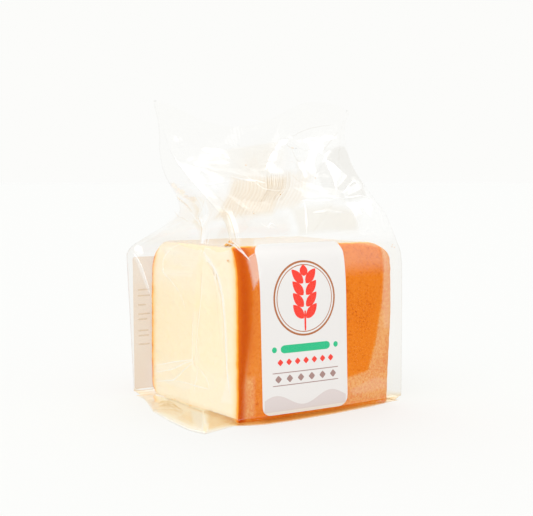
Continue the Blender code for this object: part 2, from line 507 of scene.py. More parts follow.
@dataclass(frozen=True)
class CreaseMap:
    """The folds and crinkles of the film on each stretch, beyond its main form.

    Each has its points, by x and height on the front and back and by y and height on the sides, and
    then its depth and reach.
    """

    facets: tuple[Patch, ...] = ()
    seed: int = 7
    slack_start: float = 76.0
    slack_full: float = 90.0
    edge_fade: float = 0.07
    head_front: tuple[Fold, ...] = (
        (((-14, 112), (-2, 108.5), (18, 105.5), (38, 103)), 2.4, 9),
        (((47, 123), (44, 114.5), (40.5, 109), (36, 104.5)), 1.9, 7),
        (((47, 122.5), (64, 121), (82, 126)), 1.7, 8),
        (((47, 121), (60, 114), (69, 115.5), (74, 103)), 1.8, 6),
        (((69, 115.5), (77, 107), (80, 99)), 1.4, 5),
        (((76, 98), (84, 104)), 1.2, 4),
        (((37, 93), (52, 95.5), (66, 96), (84, 95)), 1.9, 7),
        (((30, 90), (37, 93), (40, 80)), -1.2, 6),
        (((4, 100), (8, 92), (13, 80)), 1.2, 5),
        (((-6, 106), (4, 100), (24, 96)), -1.2, 6),
        (((-12, 122), (10, 117), (30, 119), (44, 116)), 1.1, 8),
        (((62, 92), (70, 88), (80, 90)), 1.2, 5),
        (((70, 88), (74, 80)), 1.3, 5),
        (((46, 90), (58, 86), (72, 80.5)), -1, 6),
    )
    left_far: tuple[Fold, ...] = (
        (((31.2, 23.7), (49.6, 20.1), (63.2, 16.7)), 1, 3.5),
        (((31.2, 23.7), (50.3, 16.5), (63.4, 13.4)), 0.9, 3),
        (((30.8, 23.4), (38.7, 18.2), (49, 11.5), (64.4, 8.8)), 0.9, 3),
        (((50.8, 73.5), (57.1, 67.9), (56.7, 62.4), (43, 53.1), (38, 46.1)), 0.7, 2.4),
        (((58.5, 61.6), (33, 62.6)), 0.8, 3),
        (((75.1, 70.5), (69, 58), (65.4, 50.9)), 1.6, 4.5),
        (((76.3, 3.4), (66.1, 5.3), (48, 3.5)), 1.2, 3),
    )
    left_near: tuple[Fold, ...] = (
        (((22.9, 73), (14.6, 69.1), (9.4, 65), (4.5, 53.3), (2.9, 39.4), (1.7, 20.3), (-0.6, 11.5)),
         1.3, 4),
        (((19.9, 66.5), (13.2, 59), (11.5, 44.9), (8.2, 25.8)), -0.6, 3),
        (((31.2, 23.7), (26.6, 21.3), (19.5, 16.7), (14.9, 12.4)), 1, 3),
        (((33, 11.7), (14.9, 12.4)), 0.7, 2.6),
        (((22.7, 64.1), (24, 51.4), (27.4, 36.3), (28.7, 24.1)), 0.9, 2.6),
    )
    back_panel: tuple[Fold, ...] = (
        (((-6, 82), (14, 90), (34, 93)), 1.8, 7),
        (((88, 80), (70, 92), (52, 96)), 1.6, 7),
        (((34, 93), (52, 96)), 1.4, 6),
        (((-8, 66), (6, 52), (4, 30)), 0.9, 4),
        (((90, 64), (78, 50), (80, 22)), 0.9, 4),
        (((-8, 12), (8, 8), (24, 9)), 0.9, 4),
        (((10, 118), (30, 108), (60, 110), (80, 120)), 1.5, 7),
    )
    right_side: tuple[Fold, ...] = (
        (((4, 70), (10, 52), (8, 24)), 1, 4),
        (((36, 28), (20, 16), (6, 10)), 1, 4),
        (((42, 28), (58, 15), (74, 9)), 1, 4),
        (((74, 70), (66, 50), (70, 26)), 1, 4),
    )

    def scattered(self, rng: np.random.Generator, count: int, box: tuple[Plan, Plan],
                  depth: float, length: float) -> list[Crease]:
        """Draws short random creases over an area of film.

        Args:
            rng: The source of the random draws.
            count: How many creases.
            box: The area's lowest and highest corner, as distance along and height.
            depth: The most that a crease stands out or in.
            length: The mean length of a crease.

        Returns:
            The creases.
        """
        (low_a, low_h), (high_a, high_h) = box
        creases = []
        for _ in range(count):
            a, h = rng.uniform(low_a, high_a), rng.uniform(low_h, high_h)
            turn = rng.uniform(0, math.pi)
            size = length * rng.uniform(0.5, 1.6)
            bend = turn + rng.normal(0, 0.5)
            line = bent_line((a, h), turn, bend, size)
            out = depth * rng.uniform(0.35, 1) * (1 if rng.random() < 0.65 else -1)
            creases.append(Crease(line, out, size * rng.uniform(0.14, 0.3)))
        return creases

    @cached_property
    def drawn(self) -> dict[Run, list[Crease]]:
        """Gathers every crease by stretch, named ones first and then the scattered ones."""
        rng = np.random.default_rng(self.seed)
        head = ((-16, 84), (88, 130))
        tuck = (9, ((8, 78), (60, 112)), 0.6, 14)
        plans = (
            (Run.FRONT, self.head_front, ((46, head, 0.9, 20),)),
            (Run.BACK, self.back_panel,
             ((40, head, 0.8, 22), (10, ((-8, 6), (90, 70)), 0.35, 22))),
            (Run.LEFT_FAR, self.left_far, (tuck, (5, ((40, 6), (78, 70)), 0.35, 16))),
            (Run.LEFT_NEAR, self.left_near, (tuck, (4, ((4, 6), (30, 68)), 0.3, 16))),
            (Run.RIGHT_NEAR, self.right_side, (tuck, (6, ((4, 6), (38, 70)), 0.5, 18))),
            (Run.RIGHT_FAR, self.right_side, (tuck, (6, ((40, 6), (76, 70)), 0.5, 18))),
        )
        return {run: [Crease(*row) for row in named]
                + [crease for area in areas for crease in self.scattered(rng, *area)]
                for run, named, areas in plans}

    def relief(self, run: Run, t: Array, base: Array) -> Array:
        """Adds up the creases of one stretch.

        Args:
            run: The stretch of film.
            t: The share of the way along it.
            base: The places on the smooth form.

        Returns:
            How far the film stands off its smooth form.
        """
        along, height = run.along(base), base[..., 2]
        creases = self.drawn[run]
        total = sum((crease.lift(along, height) for crease in creases), np.zeros(height.shape))
        if run is Run.FRONT:
            total = total + sum(facet.rise(along, height) for facet in self.facets)
            total = total * ramp(height, self.slack_start, self.slack_full)
        fade = ramp(t, 0, self.edge_fade) * ramp(1 - t, 0, self.edge_fade)
        return total * fade


@dataclass
class FilmSurface:
    """The creased film, as one surface that the bag and the prints on it share."""

    form: PackForm
    creases: CreaseMap

    def at(self, run: Run, t: Array, height: Array, lift: Array | float = 0.0) -> Array:
        """Finds places on the creased film, or a little off it.

        Args:
            run: The stretch of film.
            t: The share of the way along it.
            height: Heights before the seal's waves.
            lift: How far they stand outwards.

        Returns:
            The places.
        """
        form, step = self.form, self.form.probe
        base = form.base_at(run, t, height)
        around = form.base_at(run, t + step, height) - form.base_at(run, t - step, height)
        upward = form.base_at(run, t, height + step) - form.base_at(run, t, height - step)
        normal = np.cross(around, upward)
        normal = normal / np.maximum(np.linalg.norm(normal, axis=-1), 1e-9)[..., None]
        return base + normal * (self.creases.relief(run, t, base) + lift)[..., None]

    def on(self, run: Run, along: Array, height: Array, lift: float = 0.0) -> Array:
        """Finds places on a stretch by their x on the front or back, or their y on a side."""
        return self.at(run, self.form.share_at(run, along, height), height, lift)

    def on_left(self, back: Array, height: Array, lift: float = 0.0) -> Array:
        """Finds places on the left side by their y, on whichever half they lie."""
        near = back < self.form.fold_at("left_tuck", height)[..., 1]
        return np.where(near[..., None], self.on(Run.LEFT_NEAR, back, height, lift),
                        self.on(Run.LEFT_FAR, back, height, lift))


@dataclass(frozen=True)
class FilmLook:
    """Where the film lies on the cake, how glossy it is, and where painted highlights, painted shade
    and painted warm reflections of the cake lie on it.
    """

    contact_top: float = 73.0
    # A painted veil of light thrown back where the front film hangs loose over the crust.
    loose_veil: float = 0.045
    # The foot's faint painted highlight and painted shade, and its painted warm reflection of the
    # crust, which fades towards the edge.
    foot_rim: Plan = (0.55, 0.98)
    foot_veil: float = 0.04
    foot_warm: float = 0.50
    foot_warm_fade: float = 0.42
    # Painted shade on the sides and the back below the cake's top.
    margin_dim: dict[Run, float] = field(default_factory=lambda: {
        Run.RIGHT_NEAR: 0.5, Run.RIGHT_FAR: 0.3, Run.LEFT_FAR: 0.3, Run.BACK: 0.25})
    label: Patch = Patch(((11.4, 2), (57.2, 2), (56, 76.5), (9.4, 76.5)), blur=1)
    wet: tuple[tuple[Patch, float], ...] = (
        (Patch(((56, 14), (71, 16.6), (75.5, 29.4), (79.6, 50), (81, 66), (80, 74), (56, 77.5)),
               blur=0.7), 1),
        (Patch(((-3, 1), (1.4, 1), (1.8, 16), (7, 45), (7.5, 60), (3.3, 76), (-3, 76)),
               blur=1.4), 1),
        (Patch(((3, 20), (30, 20), (30, 76), (3, 76)), blur=2), 0.8),
        (Patch(((7.4, 1), (30, 1), (30, 21), (7.4, 21)), blur=1), 0.8),
    )
    # Facets of the front film: painted highlights where facets look lit, painted shade on grey
    # facets and painted warm reflections of the cake and print; some also stand out by their lift.
    front: tuple[Patch, ...] = (
        Patch(((44, 123.3), (78.5, 126.7), (80.7, 124.3), (68.8, 115.7), (59.8, 109.1),
               (52.5, 106.6), (52.6, 114.5)), 0.55, lift=0.8),
        Patch(((43.3, 122.8), (31.6, 108.3), (35, 109.1)), 0.5, 0, 0, 0.4, 1.2),
        Patch(((69.2, 114.6), (76.4, 107.4), (67, 101.1)), 0.75, -0.8, 0, 0.7, 1.4, 0.4),
        Patch(((69, 99.4), (83.1, 105.2), (83.3, 102.9), (69.3, 97.2)), 0.5, -0.5, 0, 0.5, 1.2,
              0.5),
        Patch(((66.8, 93.3), (86.9, 96.3), (84.9, 81.3), (68.9, 79.8), (67, 87.5)), 0.5, 0, 0, 0.8,
              3),
        Patch(((-11.9, 114.1), (-7.8, 105.2), (8.1, 104.3), (2, 108.5)), 0.3, 0, 0, 0.6, 3),
        Patch(((-16, 127.7), (-0.5, 119.8), (16.1, 118.9), (16.5, 112.6), (2.2, 113.1),
               (-12.2, 114.9)), 0.25, 0, 0, 0.5, 3),
        Patch(((9, 76.4), (33, 77), (66, 78.2), (88, 76.4), (88, 80.4), (66, 82.2), (33, 80.8),
               (10, 79.8)), 0.45, blur=1.2),
        Patch(((0.8, 92.5), (3.3, 91.9), (3.3, 77.9), (-1.4, 78.2)), 0.35, 0, 0, 0.3, 1.2),
        Patch(((-2.6, 93.2), (0.8, 90.4), (1.2, 77.9), (-1.6, 77)), 0, 0.2, 0.3, blur=1),
        Patch(((70.1, 120.5), (83.4, 121.8), (85.1, 117.9), (85.5, 103.7), (80.7, 97.3),
               (70.2, 95.6), (66.9, 102.6)), 0, 0.8),
        Patch(((35, 92.9), (54, 93.6), (70.5, 91.3), (66.2, 81.2), (48, 82.4), (33, 80.8)), 0, 0.38,
              0.12, blur=2.2),
        Patch(((4.3, 88), (18, 90.6), (31.8, 88.9), (28, 81.1), (14, 82.2), (1.3, 81.6)), 0, 0.2,
              0.04, blur=2.6),
        Patch(((1.2, 112.7), (19, 119.8), (42.7, 123.1), (32.1, 108.1), (8.5, 105.4),
               (-0.2, 109.5)), 0, 0.12, 0.08),
        Patch(((52.5, 115.5), (61.2, 115.7), (57.1, 107.2), (48.7, 107.4)), 0, 0.25, 0.05),
        Patch(((5, 71.4), (9.7, 73.7), (11.3, 64.7), (6.9, 58.5)), 0.35, 0, 0, 0.3, 1.5),
        Patch(((59.3, 8.6), (75.3, 13.2), (86, 10.6), (84.5, 7.4), (62.4, 6.4)), 0.08, 0, 0, 0.3,
              1.5),
        Patch(((80.5, 75), (90, 75), (90, 50), (84.6, 48), (84, 36), (80.5, 36), (79.6, 50)), 0.09,
              blur=0.9),
        Patch(((54, 65), (81, 65), (81, 80), (54, 80)), 0.14, blur=5),
        Patch(((60, 112), (68.6, 114), (66.9, 102.6), (70.2, 95.6), (64, 96), (58, 100)), 0, 0.5,
              blur=1),
    )
    # Facets of the left film: painted highlights on its pale folds, and painted shade and painted
    # warm reflections of the crumb and crust.
    left: tuple[Patch, ...] = (
        Patch(((21, 71.8), (14.7, 70.3), (8.8, 65), (5.5, 58.1), (13.1, 59.8), (17.5, 67.6)), 0.22,
              blur=1),
        Patch(((56.9, 74.1), (27.6, 70.3), (31.3, 64.5), (49.1, 66), (56, 68.1)), 0.12, blur=1),
        Patch(((58.5, 63.3), (32.8, 64.1), (33, 61.4), (56.3, 60)), 0.14),
        Patch(((2.8, 20.3), (0.8, 20.8), (-1.4, 9.1), (8.6, 7.9)), 0.22),
        Patch(((26.4, 45.9), (32.3, 45.4), (33.4, 32.5), (33.5, 18.2), (26.3, 19.1), (27.4, 33.2)),
              0.12),
        Patch(((75.1, 70.5), (67.9, 53.3), (65.4, 50.9), (71.5, 65)), 0.45),
        Patch(((31, 24.5), (63.2, 17.6), (63.4, 12.6), (31, 22.5)), 0.16),
        Patch(((33, 10.8), (49, 11.9), (64.4, 9.4), (40, 8)), 0.14),
        Patch(((40.6, 98.2), (37.8, 96.4), (44, 87.7), (33.6, 77.7), (45.8, 85.6)), 0, 0.2, 0.3,
              blur=1),
        Patch(((21, 77), (8, 79), (8, 90), (18, 97), (26, 90)), 0, 0.2, 0.04, blur=2),
        Patch(((40.6, 104), (37.2, 96.6), (37.4, 86), (27, 74), (30.5, 75), (41.4, 86), (42, 97)),
              0.6, -0.3, blur=0.6),
        Patch(((22.9, 73), (14.6, 69.1), (9.4, 65), (4.5, 53.3), (2.9, 39.4), (1.7, 20.3),
               (5.5, 20.3), (7.2, 39.4), (9.2, 53.3), (13.4, 62), (18.6, 67)), 0.2, blur=0.7),
        Patch(((24, 70), (30, 66), (31, 42), (26, 34), (24.5, 52)), warm=0.12, blur=0.9),
        Patch(((13, 60), (17, 62), (17.5, 44), (13.5, 30), (12, 45)), warm=0.06, blur=0.9),
        Patch(((-2, 71.5), (78, 71), (78, 77), (-2, 77)), 0.12, 0.15, blur=2),
        Patch(((46, 77.5), (74, 76), (62, 80.5), (46, 87)), 0.2, 0, 0.1, blur=2),
        Patch(((6, 88), (6, 76), (70, 74.5), (70, 77.5), (40, 79.5)), 0, 0.2, 0.04, blur=1.6),
        Patch(((-2, 52), (78, 56), (78, 76), (-2, 76)), 0.14, blur=5),
        Patch(((-2, 0), (70, 0), (70, 18), (-2, 22)), 0.12, blur=4),
    )
    # Facets of the foot: painted highlights on its folds, painted shade, painted warm reflections of
    # the crust, and a band of painted shadow and painted reflection under the crust along the skirt.
    foot: tuple[Patch, ...] = (
        Patch(((0.8, 22.4), (2, -6), (-2.6, -6.5), (-8.7, -5.4), (-17, -7), (-14, 0)), warm=0.55,
              blur=1.4),
        Patch(((-3, 22), (-15, 1), (-22.7, -12.9), (-13.2, -0.6)), 0, -0.2, -0.55, blur=1.2),
        Patch(((-12.6, 0.5), (-21, -12), (-22.7, -12.9), (-16.4, -1.6)), 0.6, 0, -0.6, blur=0.5),
        Patch(((-5, 30), (-0.1, 26.8), (-15, 2), (-17.7, -2.9), (-15.2, 9.4)), 0, 0.3, -0.2),
        Patch(((-18.4, 18.7), (-10.6, 24.7), (-8.5, 22.1), (-19.9, 0.9), (-19.4, 9.8)), warm=0.25),
        Patch(((-12, 47.4), (-8.1, 50.6), (-5.4, 49), (-7.2, 39.4), (-8.6, 46)), 0, 0.9, 0.5,
              blur=0.5),
        Patch(((-13.6, 43.2), (-9.4, 45.2), (-7.8, 38.6), (-9.8, 27.8), (-9.6, 41.6)), 0, 0.6, 0.5,
              blur=0.5),
        Patch(((-19.8, 41), (-14.4, 35), (-10.1, 27), (-10, 24.6), (-20.4, 38)), 0, 0.2, 0.3),
        Patch(((-8.9, 59.9), (-2.4, 67.2), (-1.7, 62.3), (-4.8, 51.5)), 0.5, 0, -0.4),
        Patch(((-25, 30), (-25, -14), (-21.5, -14), (-20.5, 20)), 0.2, 0, -0.35, blur=2),
        Patch(((-3, 4), (88, 4), (88, -1.6), (47, -9), (22, -10.8), (8, -10.4), (-2, -7)), 0.03,
              0.2, 1.6, blur=2.2),
        Patch(((10, 4), (88, 4), (88, -1.2), (47, -8.4), (22, -10), (11, -9.8)), 0, 1.6, 0.5,
              blur=2.2),
        Patch(((10, 1), (84, 1), (84, -1.5), (47, -5), (22, -4.6), (11, -3)), 0, 0.9, 0.4,
              blur=1.5),
        Patch(((-2.5, -5), (3, -5), (3, 40), (-1.8, 40)), 0.05, 0, 0.5, blur=1.2),
    )

    def wetness(self, across: Array, height: Array) -> Array:
        """Gives how closely the front of the film lies on the crust beside the label."""
        return np.max([share * patch.cover(across, height) for patch, share in self.wet], axis=0)

    def foot_facets(self, plan: Array, share: Array) -> dict[str, Array]:
        """Adds up the painted highlights, painted shade and painted warm reflections of the foot's
        facets.

        Args:
            plan: The x and y of each place.
            share: How far out towards the foot's edge each place lies.

        Returns:
            The painted highlight, painted shade and painted warm reflection at each place.
        """
        rim, veil = ramp(share, *self.foot_rim), self.foot_veil
        totals = {"sheen": np.full(share.shape, veil), "dim": veil - veil * rim,
                  "warm": self.foot_warm - self.foot_warm_fade * rim}
        return self.added(totals, self.foot, plan[..., 0], plan[..., 1])

    def added(self, totals: dict[str, Array], patches: tuple[Patch, ...], along: Array,
              height: Array) -> dict[str, Array]:
        """Adds what patches do to the totals by name, which don't fall below 0."""
        for patch in patches:
            cover = patch.cover(along, height)
            for name, total in totals.items():
                total += getattr(patch, name) * cover
        return {name: np.maximum(total, 0) for name, total in totals.items()}

    def contact(self, run: Run, t: Array, places: Array) -> Array:
        """Judges where the film lies on the cake.

        Args:
            run: The stretch of film.
            t: The share of the way along the stretch.
            places: The film's places.

        Returns:
            1 where the film lies on the cake, 0 where it hangs free.
        """
        height = places[..., 2]
        leaving = ramp(height, self.contact_top - 4, self.contact_top + 2)
        on_cake = ramp(height, 2, 6) * (1 - leaving)
        if run is Run.FRONT:
            across = places[..., 0]
            return np.maximum(self.wetness(across, height), 0.9 * self.label.cover(across, height))
        return on_cake * {
            Run.RIGHT_NEAR: ramp(t, 0.4, 0.7),
            Run.RIGHT_FAR: ramp(1 - t, 0.4, 0.7),
            Run.BACK: ramp(t, 0.05, 0.12) * ramp(1 - t, 0.12, 0.20),
            Run.LEFT_FAR: ramp(t, 0.35, 0.6),
            Run.LEFT_NEAR: np.ones(t.shape),
        }[run]

    def facets(self, run: Run, places: Array) -> dict[str, Array]:
        """Adds up the painted highlights, painted shade and painted warm reflections of the facets.

        Args:
            run: The stretch of film.
            places: The film's places.

        Returns:
            The painted highlight, painted shade and painted warm reflection at each place.
        """
        height, along = places[..., 2], run.along(places)
        totals = {name: np.zeros(height.shape) for name in ("sheen", "dim", "warm")}
        # Painted shade low on the sides and the back.
        if run in self.margin_dim:
            totals["dim"] += self.margin_dim[run] * (1 - ramp(height, 70, 84))
        # Painted veil over the crust where the front film hangs loose.
        if run is Run.FRONT:
            on_crust = ramp(height, 1, 3) * (1 - ramp(height, 75.5, 77))
            loose = 1 - self.contact(run, along, places)
            totals["sheen"] += self.loose_veil * on_crust * loose
        left = self.left if run in (Run.LEFT_FAR, Run.LEFT_NEAR) else ()
        return self.added(totals, self.front if run is Run.FRONT else left, along, height)

    def gloss(self, run: Run) -> float:
        """Gives how strongly a stretch mirrors its surroundings."""
        return {Run.FRONT: 0.9, Run.LEFT_NEAR: 0.7, Run.LEFT_FAR: 0.5,
                Run.BACK: 0.15, Run.RIGHT_NEAR: 0.2, Run.RIGHT_FAR: 0.1}[run]


# --- finishes


@dataclass
class Bench:
    """The node tree of a material or world, with short ways to add and join nodes."""

    owner: Material | bpy.types.World

    def __post_init__(self) -> None:
        """Starts without nodes."""
        self.owner.use_nodes = True
        self.owner.node_tree.nodes.clear()

    @classmethod
    def fresh(cls, name: str) -> "Bench":
        """Starts an empty material."""
        return cls(bpy.data.materials.new(name))

    def join(self, source: object, target: Socket) -> None:
        """Links an output to an input, or sets the input where the source is a plain value."""
        if isinstance(source, Socket):
            self.owner.node_tree.links.new(source, target)
        else:
            target.default_value = source

    def add(self, kind: str, **settings: object) -> Node:
        """Adds a node.

        Args:
            kind: The node's type, without the leading ShaderNode.
            **settings: Its properties, and its inputs by names that begin with a capital.

        Returns:
            The node.
        """
        node = self.owner.node_tree.nodes.new("ShaderNode" + kind)
        for key, value in settings.items():
            if key[0].isupper():
                self.join(value, node.inputs[key.replace("_", " ")])
            else:
                setattr(node, key, value)
        return node

    def math(self, operation: str, *terms: object, clamp: bool = False) -> Socket:
        """Adds a sum.

        Args:
            operation: The Math node's operation.
            *terms: Sockets or numbers.
            clamp: Whether the result is kept between 0 and 1.

        Returns:
            The result.
        """
        node = self.add("Math", operation=operation, use_clamp=clamp)
        for socket, term in zip(node.inputs, terms):
            self.join(term, socket)
        return node.outputs[0]

    plus = partialmethod(math, "ADD")
    less = partialmethod(math, "SUBTRACT")
    times = partialmethod(math, "MULTIPLY")

    def place(self) -> Socket:
        """Gives the Object coordinates."""
        return self.add("TexCoord").outputs["Object"]

    def attribute(self, name: str) -> Socket:
        """Gives a stored number of the mesh."""
        return self.add("Attribute", attribute_name=name).outputs["Fac"]

    def noise(self, scale: float, detail: float = 2.0, roughness: float = 0.5) -> Socket:
        """Gives a noise on Object coordinates, with its scale in features for each metre."""
        return self.add("TexNoise", Vector=self.place(), Scale=scale, Detail=detail,
                        Roughness=roughness).outputs["Fac"]

    def ramp(self, factor: Socket, *stops: tuple[float, Colour]) -> Socket:
        """Adds a colour ramp.

        Args:
            factor: What picks the colour.
            *stops: Places from 0 to 1 with their colours.

        Returns:
            The colour.
        """
        node = self.add("ValToRGB", Fac=factor)
        elements = node.color_ramp.elements
        while len(elements) < len(stops):
            elements.new(0.5)
        for element, (place, colour) in zip(elements, stops):
            element.position = place
            element.color = (*colour, 1)
        return node.outputs["Color"]

    def blend(self, factor: object, first: object, second: object, mode: str = "MIX") -> Socket:
        """Mixes two colours.

        Args:
            factor: The share of the second colour.
            first: A colour or a socket.
            second: A colour or a socket.
            mode: The way of mixing.

        Returns:
            The colour.
        """
        node = self.add("Mix", data_type="RGBA", blend_type=mode)
        for name, term in (("Factor_Float", factor), ("A_Color", first), ("B_Color", second)):
            socket = next(item for item in node.inputs if item.identifier == name)
            self.join((*term, 1) if isinstance(term, tuple) else term, socket)
        return next(item for item in node.outputs if item.identifier == "Result_Color")

    def power(self, colour: Colour, times: Socket) -> Socket:
        """Passes light through a colour filter several times over."""
        return self.add("Gamma", Color=(*colour, 1), Gamma=times).outputs[0]

    def bump(self, height: Socket, strength: float, distance: float, **base: Socket) -> Socket:
        """Adds a bump that stands out by a distance in metres, on a Normal where one is given."""
        return self.add("Bump", Height=height, Strength=strength, Distance=distance,
                        **base).outputs["Normal"]

    def shaders(self, share: Socket, first: Node, second: Node) -> Socket:
        """Mixes two shaders by the share of the second."""
        node = self.add("MixShader")
        for socket, term in zip(node.inputs, (share, first.outputs[0], second.outputs[0])):
            self.join(term, socket)
        return node.outputs[0]

    def finish(self, shader: Socket) -> Material:
        """Joins the shader to the output and gives the material."""
        self.add("OutputMaterial", Surface=shader)
        return self.owner


@dataclass(frozen=True)
class SpongeFinish:
    """Crumb and crust in one material, since one turns into the other within a few millimetres."""

    crumb: Colour = (0.90, 0.78, 0.57)
    crumb_shadow: Colour = (0.88, 0.74, 0.49)
    crumb_edge: Colour = (0.90, 0.62, 0.26)
    gold: Colour = (0.92, 0.36, 0.03)
    crust: Colour = (0.76, 0.185, 0.008)
    crust_dark: Colour = (0.56, 0.078, 0.001)
    crust_light: Colour = (0.81, 0.23, 0.016)
    # Paler crust under a painted veil: the light that loose film throws back, painted into the
    # crust.
    crust_dry: Colour = (0.75, 0.275, 0.04)
    crust_paler: Colour = (0.81, 0.39, 0.10)
    crust_pale: Colour = (0.90, 0.52, 0.18)
    skin: Colour = (0.69, 0.615, 0.535)
    skin_brown: Colour = (0.64, 0.53, 0.41)
    edge_span: float = 10.0
    roughness: float = 0.75

    def build(self) -> Material:
        """Builds the material.

        Returns:
            The material.
        """
        bench = Bench.fresh("chiffon_sponge")
        mottle = bench.noise(140, 4, 0.6)
        grain = bench.noise(950, 4, 0.75)
        patch = bench.noise(38, 3)
        pores = bench.add("TexVoronoi", feature="F1", Vector=bench.place(), Scale=720,
                          Randomness=1)
        pore = bench.ramp(pores.outputs["Distance"], (0, (0, 0, 0)), (0.30, (1, 1, 1)))

        depth = bench.attribute("crust_depth")
        jitter = bench.times(bench.less(mottle, 0.5), 1.6)
        span = bench.math("DIVIDE", bench.plus(depth, jitter), self.edge_span, clamp=True)
        crumb = bench.blend(bench.times(patch, 0.55), self.crumb, self.crumb_shadow)
        between = bench.blend(0.35, crumb, self.crumb_edge)
        crumb = bench.blend(pore, between, crumb)
        edge = bench.ramp(span, (0.02, self.crust), (0.08, self.gold), (0.13, self.gold),
                          (0.24, self.crumb_edge), (0.55, self.crumb_shadow))
        edge = bench.blend(bench.attribute("far"), edge, bench.blend(
            bench.times(bench.less(mottle, 0.42), 7, clamp=True), self.crust, self.crust_pale))
        inner = bench.times(bench.less(span, 0.20), 2, clamp=True)
        cut = bench.blend(inner, edge, crumb)
        skin = bench.blend(mottle, self.skin, self.skin_brown)
        cut = bench.blend(bench.attribute("skin"), cut, skin)

        shade = bench.plus(bench.times(patch, 0.25), bench.times(grain, 0.75))
        brown = bench.ramp(shade, (0.36, self.crust_dark), (0.45, self.crust),
                           (0.62, self.crust_light))
        # Painted veil: paler crust where the loose film would throw light back over it.
        dry = bench.ramp(shade, (0.41, self.crust), (0.5, self.crust_dry),
                         (0.60, self.crust_paler))
        brown = bench.blend(bench.attribute("dry"), brown, dry)
        burnt = bench.plus(0.2, bench.times(grain, 1.5))
        brown = bench.blend(bench.times(bench.attribute("scorch"), burnt, clamp=True), brown,
                            self.crust_dark)
        colour = bench.blend(bench.attribute("crust"), cut, brown)

        low_bump = bench.bump(mottle, 0.5, 0.0006)
        fine_bump = bench.bump(bench.plus(grain, pore), 0.45, 0.00025, Normal=low_bump)
        surface = bench.add("BsdfPrincipled", Base_Color=colour, Roughness=self.roughness,
                            Normal=fine_bump, Specular_IOR_Level=0.1, Subsurface_Weight=0.12,
                            Subsurface_Radius=(1, 0.6, 0.25), Subsurface_Scale=0.003)
        return bench.finish(surface.outputs[0])


@dataclass(frozen=True)
class FilmFinish:
    """Thin clear film: it lets light through and mirrors the studio where it turns away."""

    tint: Colour = (0.997, 0.996, 0.993)
    edge_tint: Colour = (0.994, 0.992, 0.987)
    # The next two filter what shows through: a painted warm reflection of the cake, and painted
    # shade.
    warm_tint: Colour = (0.96, 0.80, 0.58)
    dim_tint: Colour = (0.90, 0.885, 0.86)
    most_mirror: float = 0.32
    index: float = 1.45
    gain: float = 1.1
    contact_hold: float = 0.96
    roughness: float = 0.11

    def build(self) -> Material:
        """Builds the material.

        Returns:
            The material.
        """
        bench = Bench.fresh("clear_film")
        free = bench.less(1, bench.attribute("contact"))
        base = {}
        for scale, rise in ((62, 0.0007), (170, 0.0002)):
            cells = bench.add("TexVoronoi", feature="DISTANCE_TO_EDGE", Vector=bench.place(),
                              Scale=scale, Randomness=1)
            roofs = bench.times(cells.outputs["Distance"], free)
            base = {"Normal": bench.bump(roofs, 0.5, rise, **base)}
        ribs = bench.add("TexWave", wave_type="BANDS", bands_direction="X", wave_profile="SIN",
                         Vector=bench.place(), Scale=210, Distortion=0)
        crimp = bench.times(ribs.outputs["Fac"], bench.attribute("crimp"))
        base = {"Normal": bench.bump(crimp, 0.3, 0.0002, **base)}

        fresnel = bench.add("Fresnel", IOR=self.index, **base)
        hold = bench.less(1, bench.times(bench.attribute("contact"), self.contact_hold))
        mirror = bench.times(fresnel.outputs[0], self.gain)
        mirror = bench.math("MINIMUM", mirror, self.most_mirror)
        mirror = bench.times(mirror, bench.attribute("gloss"))
        mirror = bench.times(mirror, hold)
        # Painted highlight: a share stored by place is added to the mirrored light.
        mirror = bench.plus(mirror, bench.attribute("sheen"), clamp=True)

        facing = bench.add("LayerWeight", Blend=0.25, **base)
        tint = bench.blend(bench.math("POWER", facing.outputs["Facing"], 2),
                           self.tint, self.edge_tint)
        # Painted shade and a painted warm reflection of the brown cake, stored by place, filter what
        # shows through.
        for name, filtered in (("dim", self.dim_tint), ("warm", self.warm_tint)):
            tint = bench.blend(1, tint, bench.power(filtered, bench.attribute(name)), "MULTIPLY")
        clear = bench.add("BsdfTransparent", Color=tint)
        gloss = bench.add("BsdfPrincipled", Base_Color=(0.985, 0.985, 0.98, 1), Metallic=1,
                          Roughness=self.roughness, **base)
        return bench.finish(bench.shaders(mirror, clear, gloss))


@dataclass(frozen=True)
class PrintFinish:
    """Ink on film, opaque or letting some light through."""

    name: str
    colour: Colour
    cover: float = 1.0
    through: Colour = (1.0, 1.0, 1.0)
    speckle: float = 0.04
    roughness: float = 0.45
    stripes: float = 0.0
    stripe_pitch: float = 1.7

    def build(self) -> Material:
        """Builds the material.

        Returns:
            The material.
        """
        bench = Bench.fresh(self.name)
        grain = bench.noise(900, 3, 0.6)
        cloud = bench.noise(60)
        both = bench.plus(bench.times(grain, 0.5), bench.times(cloud, 0.5))
        share = bench.times(both, self.speckle * 2, clamp=True)
        darker = tuple(0.8 * channel for channel in self.colour)
        colour = bench.blend(share, self.colour, darker)
        ink = bench.add("BsdfPrincipled", Base_Color=colour, Roughness=self.roughness,
                        Normal=bench.bump(grain, 0.08, 0.0001))
        if self.cover >= 1:
            return bench.finish(ink.outputs[0])
        patchy = bench.plus(0.8, bench.times(cloud, 0.4))
        if self.stripes > 0:
            bands = bench.add("TexWave", wave_type="BANDS", bands_direction="X",
                              Vector=bench.place(), Scale=0.314 / (self.stripe_pitch * MM),
                              Distortion=0, Detail=0)
            patchy = bench.times(patchy, bench.plus(1 - self.stripes, bench.times(
                bands.outputs["Fac"], 2 * self.stripes)))
        # The stored fade weakens the print where a painted veil of reflected light stands over it.
        patchy = bench.times(patchy, bench.attribute("fade"))
        clear = bench.add("BsdfTransparent", Color=bench.power(self.through, patchy))
        return bench.finish(bench.shaders(bench.times(patchy, self.cover), clear, ink))


